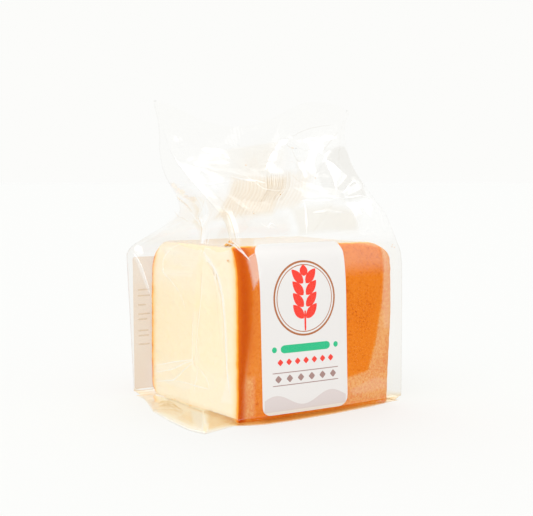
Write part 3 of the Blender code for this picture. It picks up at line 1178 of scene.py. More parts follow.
@dataclass(frozen=True)
class FloorFinish:
    """A plain pale studio floor."""

    colour: Colour = (0.268, 0.271, 0.272)
    glow: Colour = (0.973, 0.973, 0.956)
    glow_strength: float = 0.62

    def build(self) -> Material:
        """Builds the material.

        Returns:
            The material.
        """
        bench = Bench.fresh("studio_floor")
        paler = tuple(1.005 * channel for channel in self.colour)
        colour = bench.blend(bench.noise(3), self.colour, paler)
        surface = bench.add("BsdfPrincipled", Base_Color=colour, Roughness=0.9,
                            Specular_IOR_Level=0, Emission_Color=(*self.glow, 1),
                            Emission_Strength=self.glow_strength)
        return bench.finish(surface.outputs[0])


# --- the cake


@dataclass
class SpongeBlock:
    """The block of chiffon cake: crusted front and back, and cut faces between them."""

    form: PackForm
    width: float = 87.7
    depth: float = 76.0
    height: float = 76.5
    foot: float = 0.25
    cuts: int = 95
    front_right_ease: float = 0.55
    right_lean: float = 2.4
    right_lean_top: float = 50.0
    back_swell: float = 1.85
    back_swell_middle: float = 22.0
    back_swell_span: float = 46.0
    front_top_round: float = 3.0
    front_bottom_round: float = 0.8
    full_foot: float = 3.6
    foot_swell: float = 0.5
    back_top_round: float = 17.0
    back_bottom_round: float = 9.0
    right_top_round: float = 14.0
    right_bottom_round: float = 2.4
    left_round: float = 0.9
    upright_round: float = 4.0
    slump: float = 0.7
    pore_size: float = 2.6
    pore_depth: float = 0.30
    tear_reach: float = 28.0
    tear_depth: float = 2.4
    tear_span: float = 9.0
    rise_low: float = 12.0
    rise_high: float = 44.0

    def outline(self, unit: Array) -> Array:
        """Carries the unit cube to the block's swollen and rounded form.

        Args:
            unit: Places in the unit cube.

        Returns:
            Places in millimetres.
        """
        x = unit[:, 0] * self.width
        y = unit[:, 1] * self.depth
        z = unit[:, 2] * (self.height - self.foot)
        tall = self.height - self.foot
        y, z = round_outline(y, z, (self.depth, tall), {
            (-1, 1): self.front_top_round, (-1, -1): self.front_bottom_round,
            (1, 1): self.back_top_round, (1, -1): self.back_bottom_round})
        x, z = round_outline(x, z, (self.width, tall), {
            (1, 1): self.right_top_round, (1, -1): self.right_bottom_round,
            (-1, 1): self.left_round, (-1, -1): self.left_round / 3})
        x, y = round_outline(x, y, (self.width, self.depth), {
            (1, -1): self.upright_round, (1, 1): self.upright_round,
            (-1, -1): self.left_round, (-1, 1): self.left_round})
        z = z + self.foot
        x = x - self.right_lean * x / self.width * np.maximum(
            0, 1 - z / self.right_lean_top) ** 1.5
        ease = 1 - self.front_right_ease * (x / self.width) ** 6
        swell = self.form.barrel_at(np.maximum(z, self.full_foot))
        swell = swell + self.foot_swell * (1 - ramp(z, 1, 3)) * ramp(x, 4, 14)
        swell = swell * ease * (1 - y / self.depth)
        lean = 1 - ((z - self.back_swell_middle) / self.back_swell_span) ** 2
        y = y - swell + self.back_swell * np.maximum(lean, -0.6) * (y / self.depth)
        return np.stack((x, y, z), axis=-1)

    def relief(self, place: Vector, cut: float) -> float:
        """Works out the unevenness and the pores of the surface.

        Args:
            place: A place in millimetres.
            cut: 1 on cut crumb, 0 on crust.

        Returns:
            How far the surface stands out there.
        """
        broad = noise.noise(place / 24) * self.slump
        rough = noise.noise(place / 3.1) * (0.12 + 0.10 * cut)
        distances, _ = noise.voronoi(place / self.pore_size)
        pore = max(0, 1 - distances[0] / 0.42) ** 2
        return broad * (1 - 0.5 * cut) + rough - pore * self.pore_depth * cut

    def tear(self, places: Array) -> Array:
        """Lifts the torn edge of crumb at the near bottom of the cut face.

        Args:
            places: Places in millimetres.

        Returns:
            How far each place is lifted.
        """
        lift = np.zeros(len(places))
        span = self.tear_span
        near = (places[:, 0] < span) & (places[:, 2] < span)
        for index in np.nonzero(near)[0]:
            x, y, z = places[index]
            share = max(0, 1 - z / span) * max(0, 1 - x / span)
            side = max(0, min(1, (y + 2) / 5, (self.tear_reach - y) / 8))
            ragged = 0.6 + 0.5 * noise.noise(Vector((0, y / 2.2, 4)))
            lift[index] = self.tear_depth * share * side * ragged
        return lift

    def dry(self, places: Array) -> Array:
        """Judges where the crust is painted paler under a painted veil of the light that the loose
        film throws back, where the film doesn't lie on it.

        Args:
            places: Places in millimetres.

        Returns:
            1 where the painted veil is full, 0 where the film lies on the crust.
        """
        wet = FilmLook().wetness(places[:, 0], places[:, 2])
        start = 1.5 + 3.5 * ramp(places[:, 2], self.rise_low, self.rise_high)
        return 0.9 * (1 - wet) * ramp(places[:, 0], start, start + 3)

    def build(self, finish: Material) -> Piece:
        """Builds the block.

        Args:
            finish: The sponge's material.

        Returns:
            The piece.
        """
        block = bmesh.new()
        bmesh.ops.create_cube(block, size=1)
        bmesh.ops.translate(block, verts=list(block.verts), vec=(0.5, 0.5, 0.5))
        bmesh.ops.subdivide_edges(block, edges=list(block.edges), cuts=self.cuts,
                                  use_grid_fill=True)
        unit = corners_of(block)
        places = self.outline(unit)
        place_corners(block, places)
        block.normal_update()
        crusted = np.array([abs(vertex.normal.y) > 0.75 for vertex in block.verts], dtype=float)
        crust = np.where(np.minimum(unit[:, 1], 1 - unit[:, 1]) < 1e-6, 1, 0)
        for index, vertex in enumerate(block.verts):
            lift = self.relief(Vector(places[index]), 1 - crusted[index])
            places[index] += np.array(vertex.normal) * lift
        places[:, 2] += self.tear(places)
        depth = np.minimum(unit[:, 1], 0.95 * (1 - unit[:, 1])) * self.depth
        skin = np.where(unit[:, 2] > 1 - 1e-6, 1, 0) * ramp(depth, 1.5, 4)
        risen = ramp(places[:, 2], self.rise_low, self.rise_high)
        scorch = np.exp(-((places[:, 0] - 1.2 - 1.8 * risen) / (2 + 1.9 * risen)) ** 2)
        place_corners(block, CORNER.to_frame(places))
        far = ramp(unit[:, 1], 0.975, 0.992) * (1 - crust)
        return new_piece("sponge_block", block, "crumb", finish, crust=crust, crust_depth=depth,
                         skin=skin, scorch=scorch, dry=self.dry(places), far=far)


# --- the film


@dataclass
class Foot:
    """The folded end of the bag on the table: a skirt in front and an ear at the left."""

    steps: tuple[tuple[Run, int], ...]
    top: Array = field(init=False)
    skirt: tuple[Plan, ...] = ((0.5, -10), (8, -12.6), (22, -12.8), (47, -11),
                               (70, -8), (88, -3))
    back_right: Plan = (88.0, 76.0)
    ear_back: tuple[Plan, ...] = ((-8, 72), (-13.5, 56), (-19.6, 38), (-23, 16.7),
                                  (-24.6, -3.5))
    ear_front: tuple[Plan, ...] = ((-24.6, -3.5), (-22.6, -13.4), (-4.5, -7.5), (0.5, -10))
    height: float = 2.4
    floor_gap: float = 0.15
    thickness: float = 0.6
    count: int = 14
    seed: int = 31
    crinkle_count: int = 16
    middle: Plan = (44.0, 38.0)
    draw_in: float = 0.015
    least_height: float = 0.9
    crinkles: tuple[Fold, ...] = (
        (((-0.1, 26.8), (-8, 13), (-21, -11)), 0.9, 3.2),
        (((-17, 17.8), (-19.5, 1.7), (-21.5, -11)), 0.5, 2.4),
        (((-11.6, 47.7), (-8.1, 50.3), (-5.7, 48.8), (-7.5, 39.6)), 0.5, 2.2),
        (((-13.3, 43.4), (-9.4, 44.9), (-8.1, 38.6)), 0.4, 1.8),
        (((-19.8, 39.8), (-14.4, 33.6), (-10.1, 25.6)), 0.5, 3),
        (((0, 15), (-9, 4), (-20, -8)), -0.5, 3.5),
        (((-1, -6.4), (12, -7.4), (44, -6.4), (80, -3)), 0.45, 1.6),
    )

    def outline(self) -> Array:
        """Lays out the foot's edge on the table.

        Returns:
            The x and y for every column.
        """
        front_right = self.skirt[-1]
        middle = (front_right[0], (front_right[1] + self.back_right[1]) / 2)
        ways = {
            Run.FRONT: self.skirt,
            Run.RIGHT_NEAR: (front_right, middle),
            Run.RIGHT_FAR: (middle, self.back_right),
            Run.BACK: (self.back_right, self.ear_back[0]),
            Run.LEFT_FAR: self.ear_back,
            Run.LEFT_NEAR: self.ear_front,
        }
        outline = []
        for run, steps in self.steps:
            corners = np.array(ways[run], dtype=float)
            lengths = np.linalg.norm(np.diff(corners, axis=0), axis=1)
            reach = np.concatenate(((0,), np.cumsum(lengths)))
            where = np.linspace(0, reach[-1], steps, endpoint=False)
            outline += [[np.interp(w, reach, corners[:, axis]) for axis in (0, 1)] for w in where]
        return np.array(outline)

    def creases(self) -> list[Crease]:
        """Gives the folds and crinkles of the foot's upper film, in plan."""
        rng = np.random.default_rng(self.seed)
        named = [Crease(*row) for row in self.crinkles]
        for _ in range(self.crinkle_count):
            x, y = rng.uniform(-21, -2), rng.uniform(-8, 62)
            turn, size = rng.uniform(0.6, 2.2), rng.uniform(6, 16)
            end = (x + size * math.cos(turn), y + size * math.sin(turn))
            named.append(Crease(((x, y), end), rng.uniform(-0.4, 0.5), rng.uniform(1.2, 2.4)))
        return named

    def layers(self, lowest: Array) -> list[tuple[Array, Array]]:
        """Makes the rows of film that run out to the foot's edge and back in over it.

        Args:
            lowest: The lowest row of the upright film.

        Returns:
            For each row from under the cake up, its places and how far out they lie.
        """
        outline = self.outline()
        inner = lowest[:, :2] * (1 - self.draw_in) + np.array(self.middle) * self.draw_in
        shares = np.linspace(0, 1, self.count + 1)
        creases = self.creases()
        rows = []
        for share in shares:
            plan = inner + (outline - inner) * share
            height = np.full(len(plan), self.floor_gap + 0.5 * self.thickness * share ** 2)
            rows.append((np.column_stack((plan, height)), np.full(len(plan), share)))
        for share in shares[::-1]:
            plan = inner + (outline - inner) * share
            swell = self.height - 0.4 - (self.height - self.thickness - 0.4) * share
            relief = sum(crease.lift(plan[:, 0], plan[:, 1]) for crease in creases)
            fade = float(ramp(share, 0, 0.2) * ramp(1 - share, 0, 0.15))
            height = np.maximum(swell + fade * relief, self.least_height)
            rows.append((np.column_stack((plan, height)), np.full(len(plan), share)))
        self.top = np.concatenate([places for places, _ in rows[self.count + 1:]])
        return rows

    def on_top(self, x: Array, y: Array, lift: Array) -> Array:
        """Finds places on the foot's upper film.

        Args:
            x: The x of each place.
            y: The y of each place.
            lift: How far each place stands above the film.

        Returns:
            The places.
        """
        away = np.hypot(x[:, None] - self.top[None, :, 0], y[:, None] - self.top[None, :, 1])
        nearest = np.argsort(away, axis=1)[:, :4]
        weight = 1 / (np.take_along_axis(away, nearest, axis=1) + 0.3)
        height = (self.top[nearest, 2] * weight).sum(axis=1) / weight.sum(axis=1)
        return np.stack((x, y, height + lift), axis=-1)


@dataclass
class FilmBag:
    """The clear bag: one skin of film from under the cake to the seal."""

    surface: FilmSurface
    steps: tuple[tuple[Run, int], ...] = (
        (Run.FRONT, 132), (Run.RIGHT_NEAR, 36), (Run.RIGHT_FAR, 36),
        (Run.BACK, 120), (Run.LEFT_FAR, 54), (Run.LEFT_NEAR, 46),
    )
    body_step: float = 0.95
    head_step: float = 0.72
    head_start: float = 70.0
    foot_gloss: float = 0.6
    crimp_start: float = 124.0
    tooth: float = 0.5
    look: FilmLook = field(default_factory=FilmLook)

    def __post_init__(self) -> None:
        """Makes the foot with the bag's own columns."""
        self.foot = Foot(self.steps)

    def heights(self) -> Array:
        """Lists the heights of the upright rows."""
        body = np.arange(self.foot.height, self.head_start, self.body_step)
        head = np.arange(self.head_start, self.surface.form.seal_top, self.head_step)
        return np.concatenate((body, head, (self.surface.form.seal_top,)))

    def upright_rows(self) -> Array:
        """Finds the film's places above its foot.

        Returns:
            An array of rows by columns by three.
        """
        heights = self.heights()
        blocks = []
        for run, steps in self.steps:
            t = np.arange(steps) / steps
            grid_t, grid_h = np.meshgrid(t, heights)
            blocks.append(self.surface.at(run, grid_t, grid_h))
        rows = np.concatenate(blocks, axis=1)
        rows[-1, ::2, 2] += self.tooth
        return rows

    def looks(self, upright: Array, foot: list[tuple[Array, Array]]) -> dict[str, Array]:
        """Works out the film's attributes for every row and column.

        Args:
            upright: The places of the upright rows.
            foot: The rows below them, with how far out they lie.

        Returns:
            Arrays of rows by columns, by the attribute's name.
        """
        low = len(foot)
        heights = self.heights()
        shape = (low + len(heights), upright.shape[1])
        values = {name: np.zeros(shape)
                  for name in ("contact", "sheen", "dim", "warm", "gloss", "crimp")}
        values["crimp"][low:] = ramp(heights, self.crimp_start, self.crimp_start + 1)[:, None]
        values["gloss"][:low] = self.foot_gloss
        for row, (places, share) in enumerate(foot):
            for name, total in self.look.foot_facets(places[:, :2], share).items():
                values[name][row] = total
        first = 0
        for run, steps in self.steps:
            span = slice(first, first + steps)
            places = upright[:, span]
            t = np.broadcast_to(np.arange(steps) / steps, places.shape[:2])
            values["contact"][low:, span] = self.look.contact(run, t, places)
            values["gloss"][low:, span] = self.look.gloss(run)
            for name, total in self.look.facets(run, places).items():
                values[name][low:, span] = total
            first += steps
        # A painted warm reflection of the crust on the lowest upright rows.
        values["warm"][low:] += 0.5 * (1 - ramp(heights, 2, 4.5))[:, None]
        return values

    def build(self, finish: Material) -> Piece:
        """Builds the bag.

        Args:
            finish: The film's material.

        Returns:
            The piece.
        """
        upright = self.upright_rows()
        foot = self.foot.layers(upright[0])
        stacked = np.stack([places for places, _ in foot] + list(upright))
        columns = stacked.shape[1]
        bag = flat_grid(columns, len(stacked) - 1)
        grid = corners_of(bag)
        column = np.rint(grid[:, 0] * columns).astype(int) % columns
        row = np.rint(grid[:, 1] * (len(stacked) - 1)).astype(int)
        place_corners(bag, CORNER.to_frame(stacked[row, column]))
        for name, values in self.looks(upright, foot).items():
            layer = bag.verts.layers.float.new(name)
            for vertex, value in zip(bag.verts, values[row, column]):
                vertex[layer] = value
        bmesh.ops.remove_doubles(bag, verts=list(bag.verts), dist=1e-6)
        lowest = [edge for edge in bag.edges if edge.is_boundary
                  and max(v.co.z for v in edge.verts) < self.foot.height * MM]
        bmesh.ops.holes_fill(bag, edges=lowest, sides=0)
        return new_piece("film_bag", bag, "film", finish)


@dataclass
class BackSeam:
    """The lengthwise seam of the bag, a strip of doubled film that lies flat on the back."""

    surface: FilmSurface
    middle: float = 42.0
    half_width: float = 7.0
    low: float = 4.0
    high: float = 128.0
    columns: int = 14
    rows: int = 150
    lift: float = 0.25
    curl: float = 0.7

    def build(self, finish: Material) -> Piece:
        """Builds the strip.

        Args:
            finish: The film's material.

        Returns:
            The piece.
        """
        strip = flat_grid(self.columns, self.rows)
        unit = corners_of(strip)
        across = self.middle + (2 * unit[:, 0] - 1) * self.half_width
        height = self.low + unit[:, 1] * (self.high - self.low)
        flat = self.surface.on(Run.BACK, across, height, self.lift)
        free = (1 - unit[:, 0]) ** 3 * (0.6 + 0.4 * np.sin(height * 0.31))
        flat[:, 1] += free * self.curl
        place_corners(strip, CORNER.to_frame(flat))
        # A faint painted highlight on the seam.
        look = {name: np.full(len(unit), value)
                for name, value in (("contact", 0.4), ("gloss", 0.3), ("sheen", 0.02))}
        return new_piece("back_seam", strip, "film", finish, **look)


class Sheet(Enum):
    """The parts of the bag that a fold line can run over, by how its points are given."""

    FRONT = "x and height"
    BACK = "x and height on the back"
    LEFT = "y and height"
    FOOT = "x and y"


@dataclass(frozen=True)
class FoldLine:
    """One sharp fold, drawn as a painted highlight line, or as a line of painted shade over what
    lies behind where its strength is negative.
    """

    sheet: Sheet
    line: Way
    width: float
    glint: float
    warm: float = 0.0


@dataclass
class FoldLines:
    """The sharp folds of doubled film, as narrow tapered ridges on the bag.

    Each has its points, its width, the strength of its painted highlight, negative for painted
    shade, and, where it casts a painted warm reflection over what lies behind, how much.
    """

    surface: FilmSurface
    foot: Foot
    lift: float = 0.12
    pitch: float = 0.9
    taper: float = 0.6
    seed: int = 17
    loose_count: int = 16
    front: tuple[Fold, ...] = (
        (((10.8, 105.3), (20, 103.6), (28.4, 102.3)), 0.9, 0.65),
        (((-11.9, 114.1), (-7.8, 109.8), (2, 106.2), (8.1, 104.3)), 0.9, 0.6),
        (((-8.5, 104.6), (0, 103.6), (9, 103.4)), 0.5, 0.5),
        (((43.3, 122.8), (38, 115.8), (32, 108.6)), 1, 0.65),
        (((44, 123.3), (47, 118.5), (52.5, 113.5), (59.8, 109.1)), 0.6, -0.6),
        (((44, 123.5), (62, 125.2), (80, 127)), 0.35, -0.5),
        (((80.7, 124.3), (74, 119.8), (68.8, 115.7)), 0.5, -0.6),
        (((46.5, 121.5), (56, 117), (66, 117.5)), 0.5, -0.45),
        (((69.2, 114.6), (68.6, 107), (67, 101.1)), 0.6, 0.65),
        (((76.4, 107.4), (72, 104.6), (67, 101.1)), 0.5, 0.6),
        (((83.3, 104.4), (76, 102), (69, 98.2)), 0.6, 0.6),
        (((39.5, 93.6), (52.8, 94.6), (68, 95.8), (86, 96.6)), 0.6, 0.6),
        (((67, 93.3), (67.4, 87.5), (69.2, 79.8)), 0.6, 0.55),
        (((11.6, 79.6), (33.1, 80.4), (66.7, 82), (86, 80)), 0.5, 0.5),
        (((3.3, 91.9), (3.3, 84), (2.2, 77.9)), 0.4, 0.55),
        (((14, 87), (17, 84.5), (20, 86.5), (23, 84.2)), 0.6, 0.6),
        (((16, 83.4), (19, 85), (22, 82.6)), 0.5, 0.5),
        (((-3.4, 78.6), (0.2, 77.2), (3, 74.6), (6.4, 70.4)), 0.8, 0.85),
        (((-1.6, 79.8), (1.6, 77.6), (4, 74.2), (6.4, 70.4)), 0.6, 0.7),
        (((5, 71.4), (9.7, 73.7)), 0.4, 0.5),
        (((36.7, 80.8), (39.4, 87), (42.4, 93.7)), 0.9, 0.55),
        (((44, 90), (53, 91.2), (62, 89.6)), 1, 0.45),
        (((-1.4, 93), (1, 90.2), (1.1, 78.2)), 0.5, -0.6, 0.4),
    )
    left: tuple[Fold, ...] = (
        (((22.9, 73), (14.6, 69.1), (9.4, 65), (4.5, 53.3), (2.9, 39.4), (1.7, 20.3), (-0.6, 11.5)),
         1.7, 0.61),
        (((19.9, 66.5), (13.2, 59), (11.5, 44.9), (8.2, 25.8)), 0.5, -0.4),
        (((22.7, 64.1), (24, 51.4), (27.4, 36.3), (28.7, 24.1)), 0.5, 0.54),
        (((26.4, 45.9), (27.4, 33.2), (26.3, 19.1)), 0.4, -0.35),
        (((32.3, 45.4), (33.4, 32.5), (33.5, 18.2)), 0.4, 0.61),
        (((42.9, 79.8), (50.8, 73.5), (57.1, 67.9), (56.7, 62.4), (43, 53.1), (38, 46.1)), 0.35,
         0.68),
        (((31.2, 23.7), (49.6, 20.1), (63.2, 16.7)), 0.5, 0.68),
        (((31.2, 23.7), (50.3, 16.5), (63.4, 13.4)), 0.45, 0.68),
        (((30.8, 23.4), (38.7, 18.2), (49, 11.5), (64.4, 8.8)), 0.5, 0.68),
        (((49, 11.5), (33, 11.7), (14.9, 12.4)), 0.5, 0.61),
        (((26.6, 21.3), (19.5, 16.7), (14.9, 12.4)), 0.5, 0.61),
        (((28.4, 19.1), (31.1, 8.6)), 0.5, 0.61),
        (((75.1, 70.5), (71.5, 65), (65.4, 50.9)), 0.6, 0.74),
        (((76.3, 3.4), (66.1, 5.3)), 0.8, 0.85),
        (((37.5, 96.6), (43.5, 87.7), (27.4, 73.6)), 1.3, 0.85),
        (((39, 102), (40.2, 88), (34, 80), (26.6, 72.6)), 1, 0.85),
        (((31, 82), (23.4, 73.9)), 0.7, 0.81),
        (((37.7, 95), (39.4, 85.6), (28.3, 73.8)), 1.5, 0.85),
        (((40.6, 104), (46.1, 87.9), (23.4, 73.9)), 0.5, 0.74),
        (((40.4, 98), (37.1, 97.1), (33, 95)), 0.4, 0.68),
        (((75.6, 72.6), (62.2, 81), (46.1, 87.9)), 0.5, 0.74),
        (((37.8, 96), (43.6, 87.7), (33.6, 77.7)), 0.6, -0.7, 0.5),
    )
    on_foot: tuple[Fold, ...] = (
        (((-0.3, 26.4), (-8, 13), (-21, -11)), 0.9, 0.6),
        (((-17, 17.8), (-19.5, 1.7), (-21.5, -11.5)), 0.5, 0.5),
        (((-18.4, 18.7), (-10.6, 24.7)), 0.4, 0.5),
        (((-11.6, 47.7), (-8.1, 50.3), (-5.7, 48.8)), 0.9, -0.9, 0.6),
        (((-13.3, 43.4), (-9.4, 44.9), (-8.1, 38.6), (-9.4, 30)), 0.7, -0.7, 0.6),
        (((-14, 47), (-9, 52.4), (-3.5, 50)), 0.5, 0.5),
        (((-19.8, 39.8), (-14.4, 33.6), (-10.1, 25.6)), 0.6, -0.4, 0.4),
        (((-8.9, 59.9), (-2.4, 67.2)), 0.6, 0.6),
        (((-2, -3), (-10, -5.6), (-20, -11.4)), 0.6, 0.4),
        (((6, -7.2), (14, -7.6), (44, -6.2), (80, -2.8)), 0.5, 0.35),
    )

    def loose(self) -> list[FoldLine]:
        """Draws the fine folds of the slack film above the cake."""
        rng = np.random.default_rng(self.seed)
        folds = []
        for _ in range(self.loose_count):
            sheet = Sheet.FRONT if rng.random() < 0.6 else Sheet.BACK
            x, z = rng.uniform(-4, 78), rng.uniform(84, 124)
            turn, size = rng.uniform(-0.9, 0.9), rng.uniform(10, 24)
            bend = turn + rng.normal(0, 0.35)
            line = bent_line((x, z), turn, bend, size)
            # Each loose fold is a painted highlight line or a painted shade line.
            glint = 0.45 if rng.random() < 0.6 else -0.35
            folds.append(FoldLine(sheet, line, rng.uniform(0.2, 0.35), glint))
        return folds

    def lay(self, sheet: Sheet, flat: Array, lift: Array) -> Array:
        """Lays the points of a fold on the bag.

        Args:
            sheet: The part of the bag.
            flat: The points as they are given for that part.
            lift: How far each stands off the film.

        Returns:
            The places, in millimetres.
        """
        first, second = flat[:, 0], flat[:, 1]
        if sheet is Sheet.FOOT:
            return self.foot.on_top(first, second, lift)
        if sheet is Sheet.LEFT:
            return self.surface.on_left(first, second, lift)
        run = Run.FRONT if sheet is Sheet.FRONT else Run.BACK
        return self.surface.on(run, first, second, lift)

    def strip(self, fold: FoldLine) -> tuple[Shape, Array]:
        """Makes one fold as a tapered strip on the film.

        Args:
            fold: The fold.

        Returns:
            The strip in frame metres, and how strong the fold is at each corner.
        """
        way = np.array(fold.line)
        reach = np.concatenate(((0,), np.cumsum(np.linalg.norm(np.diff(way, axis=0), axis=1))))
        shape = flat_grid(2, max(8, round(reach[-1] / self.pitch)))
        unit = corners_of(shape)

        def trace(share: Array) -> Array:
            """Finds points along the fold by the share of its length, with its bends eased."""
            ease = 0.04
            near = [np.clip(share + shift, 0, 1) * reach[-1] for shift in (-ease, 0, ease)]
            return np.stack([sum(np.interp(n, reach, way[:, axis]) for n in near) / 3
                             for axis in (0, 1)], axis=-1)

        run_on = trace(unit[:, 1] + 0.02) - trace(unit[:, 1] - 0.02)
        run_on = run_on / np.linalg.norm(run_on, axis=-1)[:, None]
        girth = np.sin(math.pi * np.clip(unit[:, 1], 0.01, 0.99)) ** self.taper
        side = ((2 * unit[:, 0] - 1) * 0.8 * fold.width * girth)[:, None]
        flat = trace(unit[:, 1]) + side * np.stack((-run_on[:, 1], run_on[:, 0]), axis=-1)
        strength = 1 - np.abs(2 * unit[:, 0] - 1)
        place_corners(shape, CORNER.to_frame(self.lay(fold.sheet, flat,
                                                      self.lift * strength + 0.05)))
        return shape, strength

    def build(self, finish: Material) -> Piece:
        """Builds the folds.

        Args:
            finish: The film's material.

        Returns:
            The piece.
        """
        tables = ((Sheet.FRONT, self.front), (Sheet.LEFT, self.left), (Sheet.FOOT, self.on_foot))
        folds = [FoldLine(sheet, *row) for sheet, rows in tables for row in rows] + self.loose()
        strips = [self.strip(fold) for fold in folds]
        # Positive strengths become painted highlight, negative ones painted shade.
        glint, warm = (
            np.concatenate([getattr(fold, name) * part for fold, (_, part) in zip(folds, strips)])
            for name in ("glint", "warm"))
        return new_piece("fold_lines", join_shapes(shape for shape, _ in strips), "film", finish,
                         sheen=np.maximum(glint, 0), dim=np.maximum(-glint, 0), warm=warm)


# --- prints on the film


@dataclass
class Ink:
    """One flat printed shape on a panel, kept as a grid or ring until it is laid on the film."""

    shape: Shape

    @classmethod
    def block(cls, width: float, height: float, radius: float, pitch: float = 1.6) -> "Ink":
        """Makes a rectangle with round corners, centred on the origin.

        Args:
            width: Its width.
            height: Its height.
            radius: The radius of its corners.
            pitch: The size of its faces.

        Returns:
            The shape.
        """
        grid = flat_grid(max(4, round(width / pitch)), max(4, round(height / pitch)))
        unit = corners_of(grid)
        x, y = unit[:, 0] * width, unit[:, 1] * height
        if radius > 0:
            corners = {(side, level): radius for side in (-1, 1) for level in (-1, 1)}
            x, y = round_outline(x, y, (width, height), corners)
        place_corners(grid, np.column_stack((x - width / 2, y - height / 2, 0 * x)))
        return cls(grid)

    @classmethod
    def ring(cls, radius: float, stroke: float, segments: int = 96) -> "Ink":
        """Makes a ring, centred on the origin.

        Args:
            radius: Its outer radius.
            stroke: Its width.
            segments: Faces round it.

        Returns:
            The shape.
        """
        ring = bmesh.new()
        bmesh.ops.create_circle(ring, cap_ends=False, segments=segments, radius=radius)
        bmesh.ops.create_circle(ring, cap_ends=False, segments=segments, radius=radius - stroke)
        bmesh.ops.bridge_loops(ring, edges=list(ring.edges))
        return cls(ring)

    @classmethod
    def grain(cls, length: float, width: float) -> "Ink":
        """Makes a grain of wheat, pointed at both ends, standing on the origin.

        Args:
            length: Its length.
            width: Its width at the middle.

        Returns:
            The shape.
        """
        grid = flat_grid(8, 12)
        unit = corners_of(grid)
        girth = np.sin(math.pi * unit[:, 1] ** 0.85) ** 0.8 * 0.5 * width
        x = (2 * unit[:, 0] - 1) * girth
        place_corners(grid, np.column_stack((x, unit[:, 1] * length, 0 * x)))
        return cls(grid)

    @classmethod
    def hills(cls, width: float, base: float, swell: float, waves: float,
              start: float) -> "Ink":
        """Makes a low band whose upper edge rolls, standing on the origin.

        Args:
            width: Its width.
            base: Its height at the hollows.
            swell: How much the crests rise.
            waves: How many crests.
            start: Where the first crest lies, as a share of a wave.

        Returns:
            The shape.
        """
        grid = flat_grid(40, 6)
        unit = corners_of(grid)
        roll = 0.5 + 0.5 * np.cos(2 * math.pi * (waves * unit[:, 0] - start))
        x = (unit[:, 0] - 0.5) * width
        place_corners(grid, np.column_stack((x, unit[:, 1] * (base + swell * roll), 0 * x)))
        return cls(grid)

    def moved(self, across: float, up: float, turn: float = 0.0) -> "Ink":
        """Turns the shape about the origin and then shifts it.

        Args:
            across: The shift along x.
            up: The shift in height.
            turn: The turn, in degrees, anticlockwise.

        Returns:
            This shape.
        """
        spin = Matrix.Rotation(math.radians(turn), 4, "Z")
        bmesh.ops.transform(self.shape, matrix=Matrix.Translation((across, up, 0)) @ spin,
                            verts=list(self.shape.verts))
        return self


def lay_prints(name: str, shapes: Sequence[Ink], surface: FilmSurface, run: Run,
               lift: Callable[[Array], Array], slot: str, finish: Material, slant: float = 0.0,
               fade: Callable[[Array, Array], Array] | None = None) -> Piece:
    """Joins flat shapes into one piece and lays it on the film.

    Args:
        name: The piece's name.
        shapes: The shapes, in x and height. They are freed.
        surface: The film.
        run: The panel they lie on.
        lift: Gives how far they stand outwards of the film at each height.
        slot: Handed on to new_piece, which doesn't use it.
        finish: The ink.
        slant: How far the shapes lean to the left for each millimetre of height.
        fade: Gives how strongly they show at each place.

    Returns:
        The piece.
    """
    joined = join_shapes(ink.shape for ink in shapes)
    flat = corners_of(joined)
    across = flat[:, 0] - slant * (flat[:, 1] - 40)
    laid = surface.on(run, across, flat[:, 1], lift(flat[:, 1]))
    place_corners(joined, CORNER.to_frame(laid))
    bmesh.ops.recalc_face_normals(joined, faces=list(joined.faces))
    laid = CORNER.from_frame(corners_of(joined))
    look = {"fade": fade(laid[:, 0], laid[:, 2])} if fade else {}
    return new_piece(name, joined, slot, finish, **look)


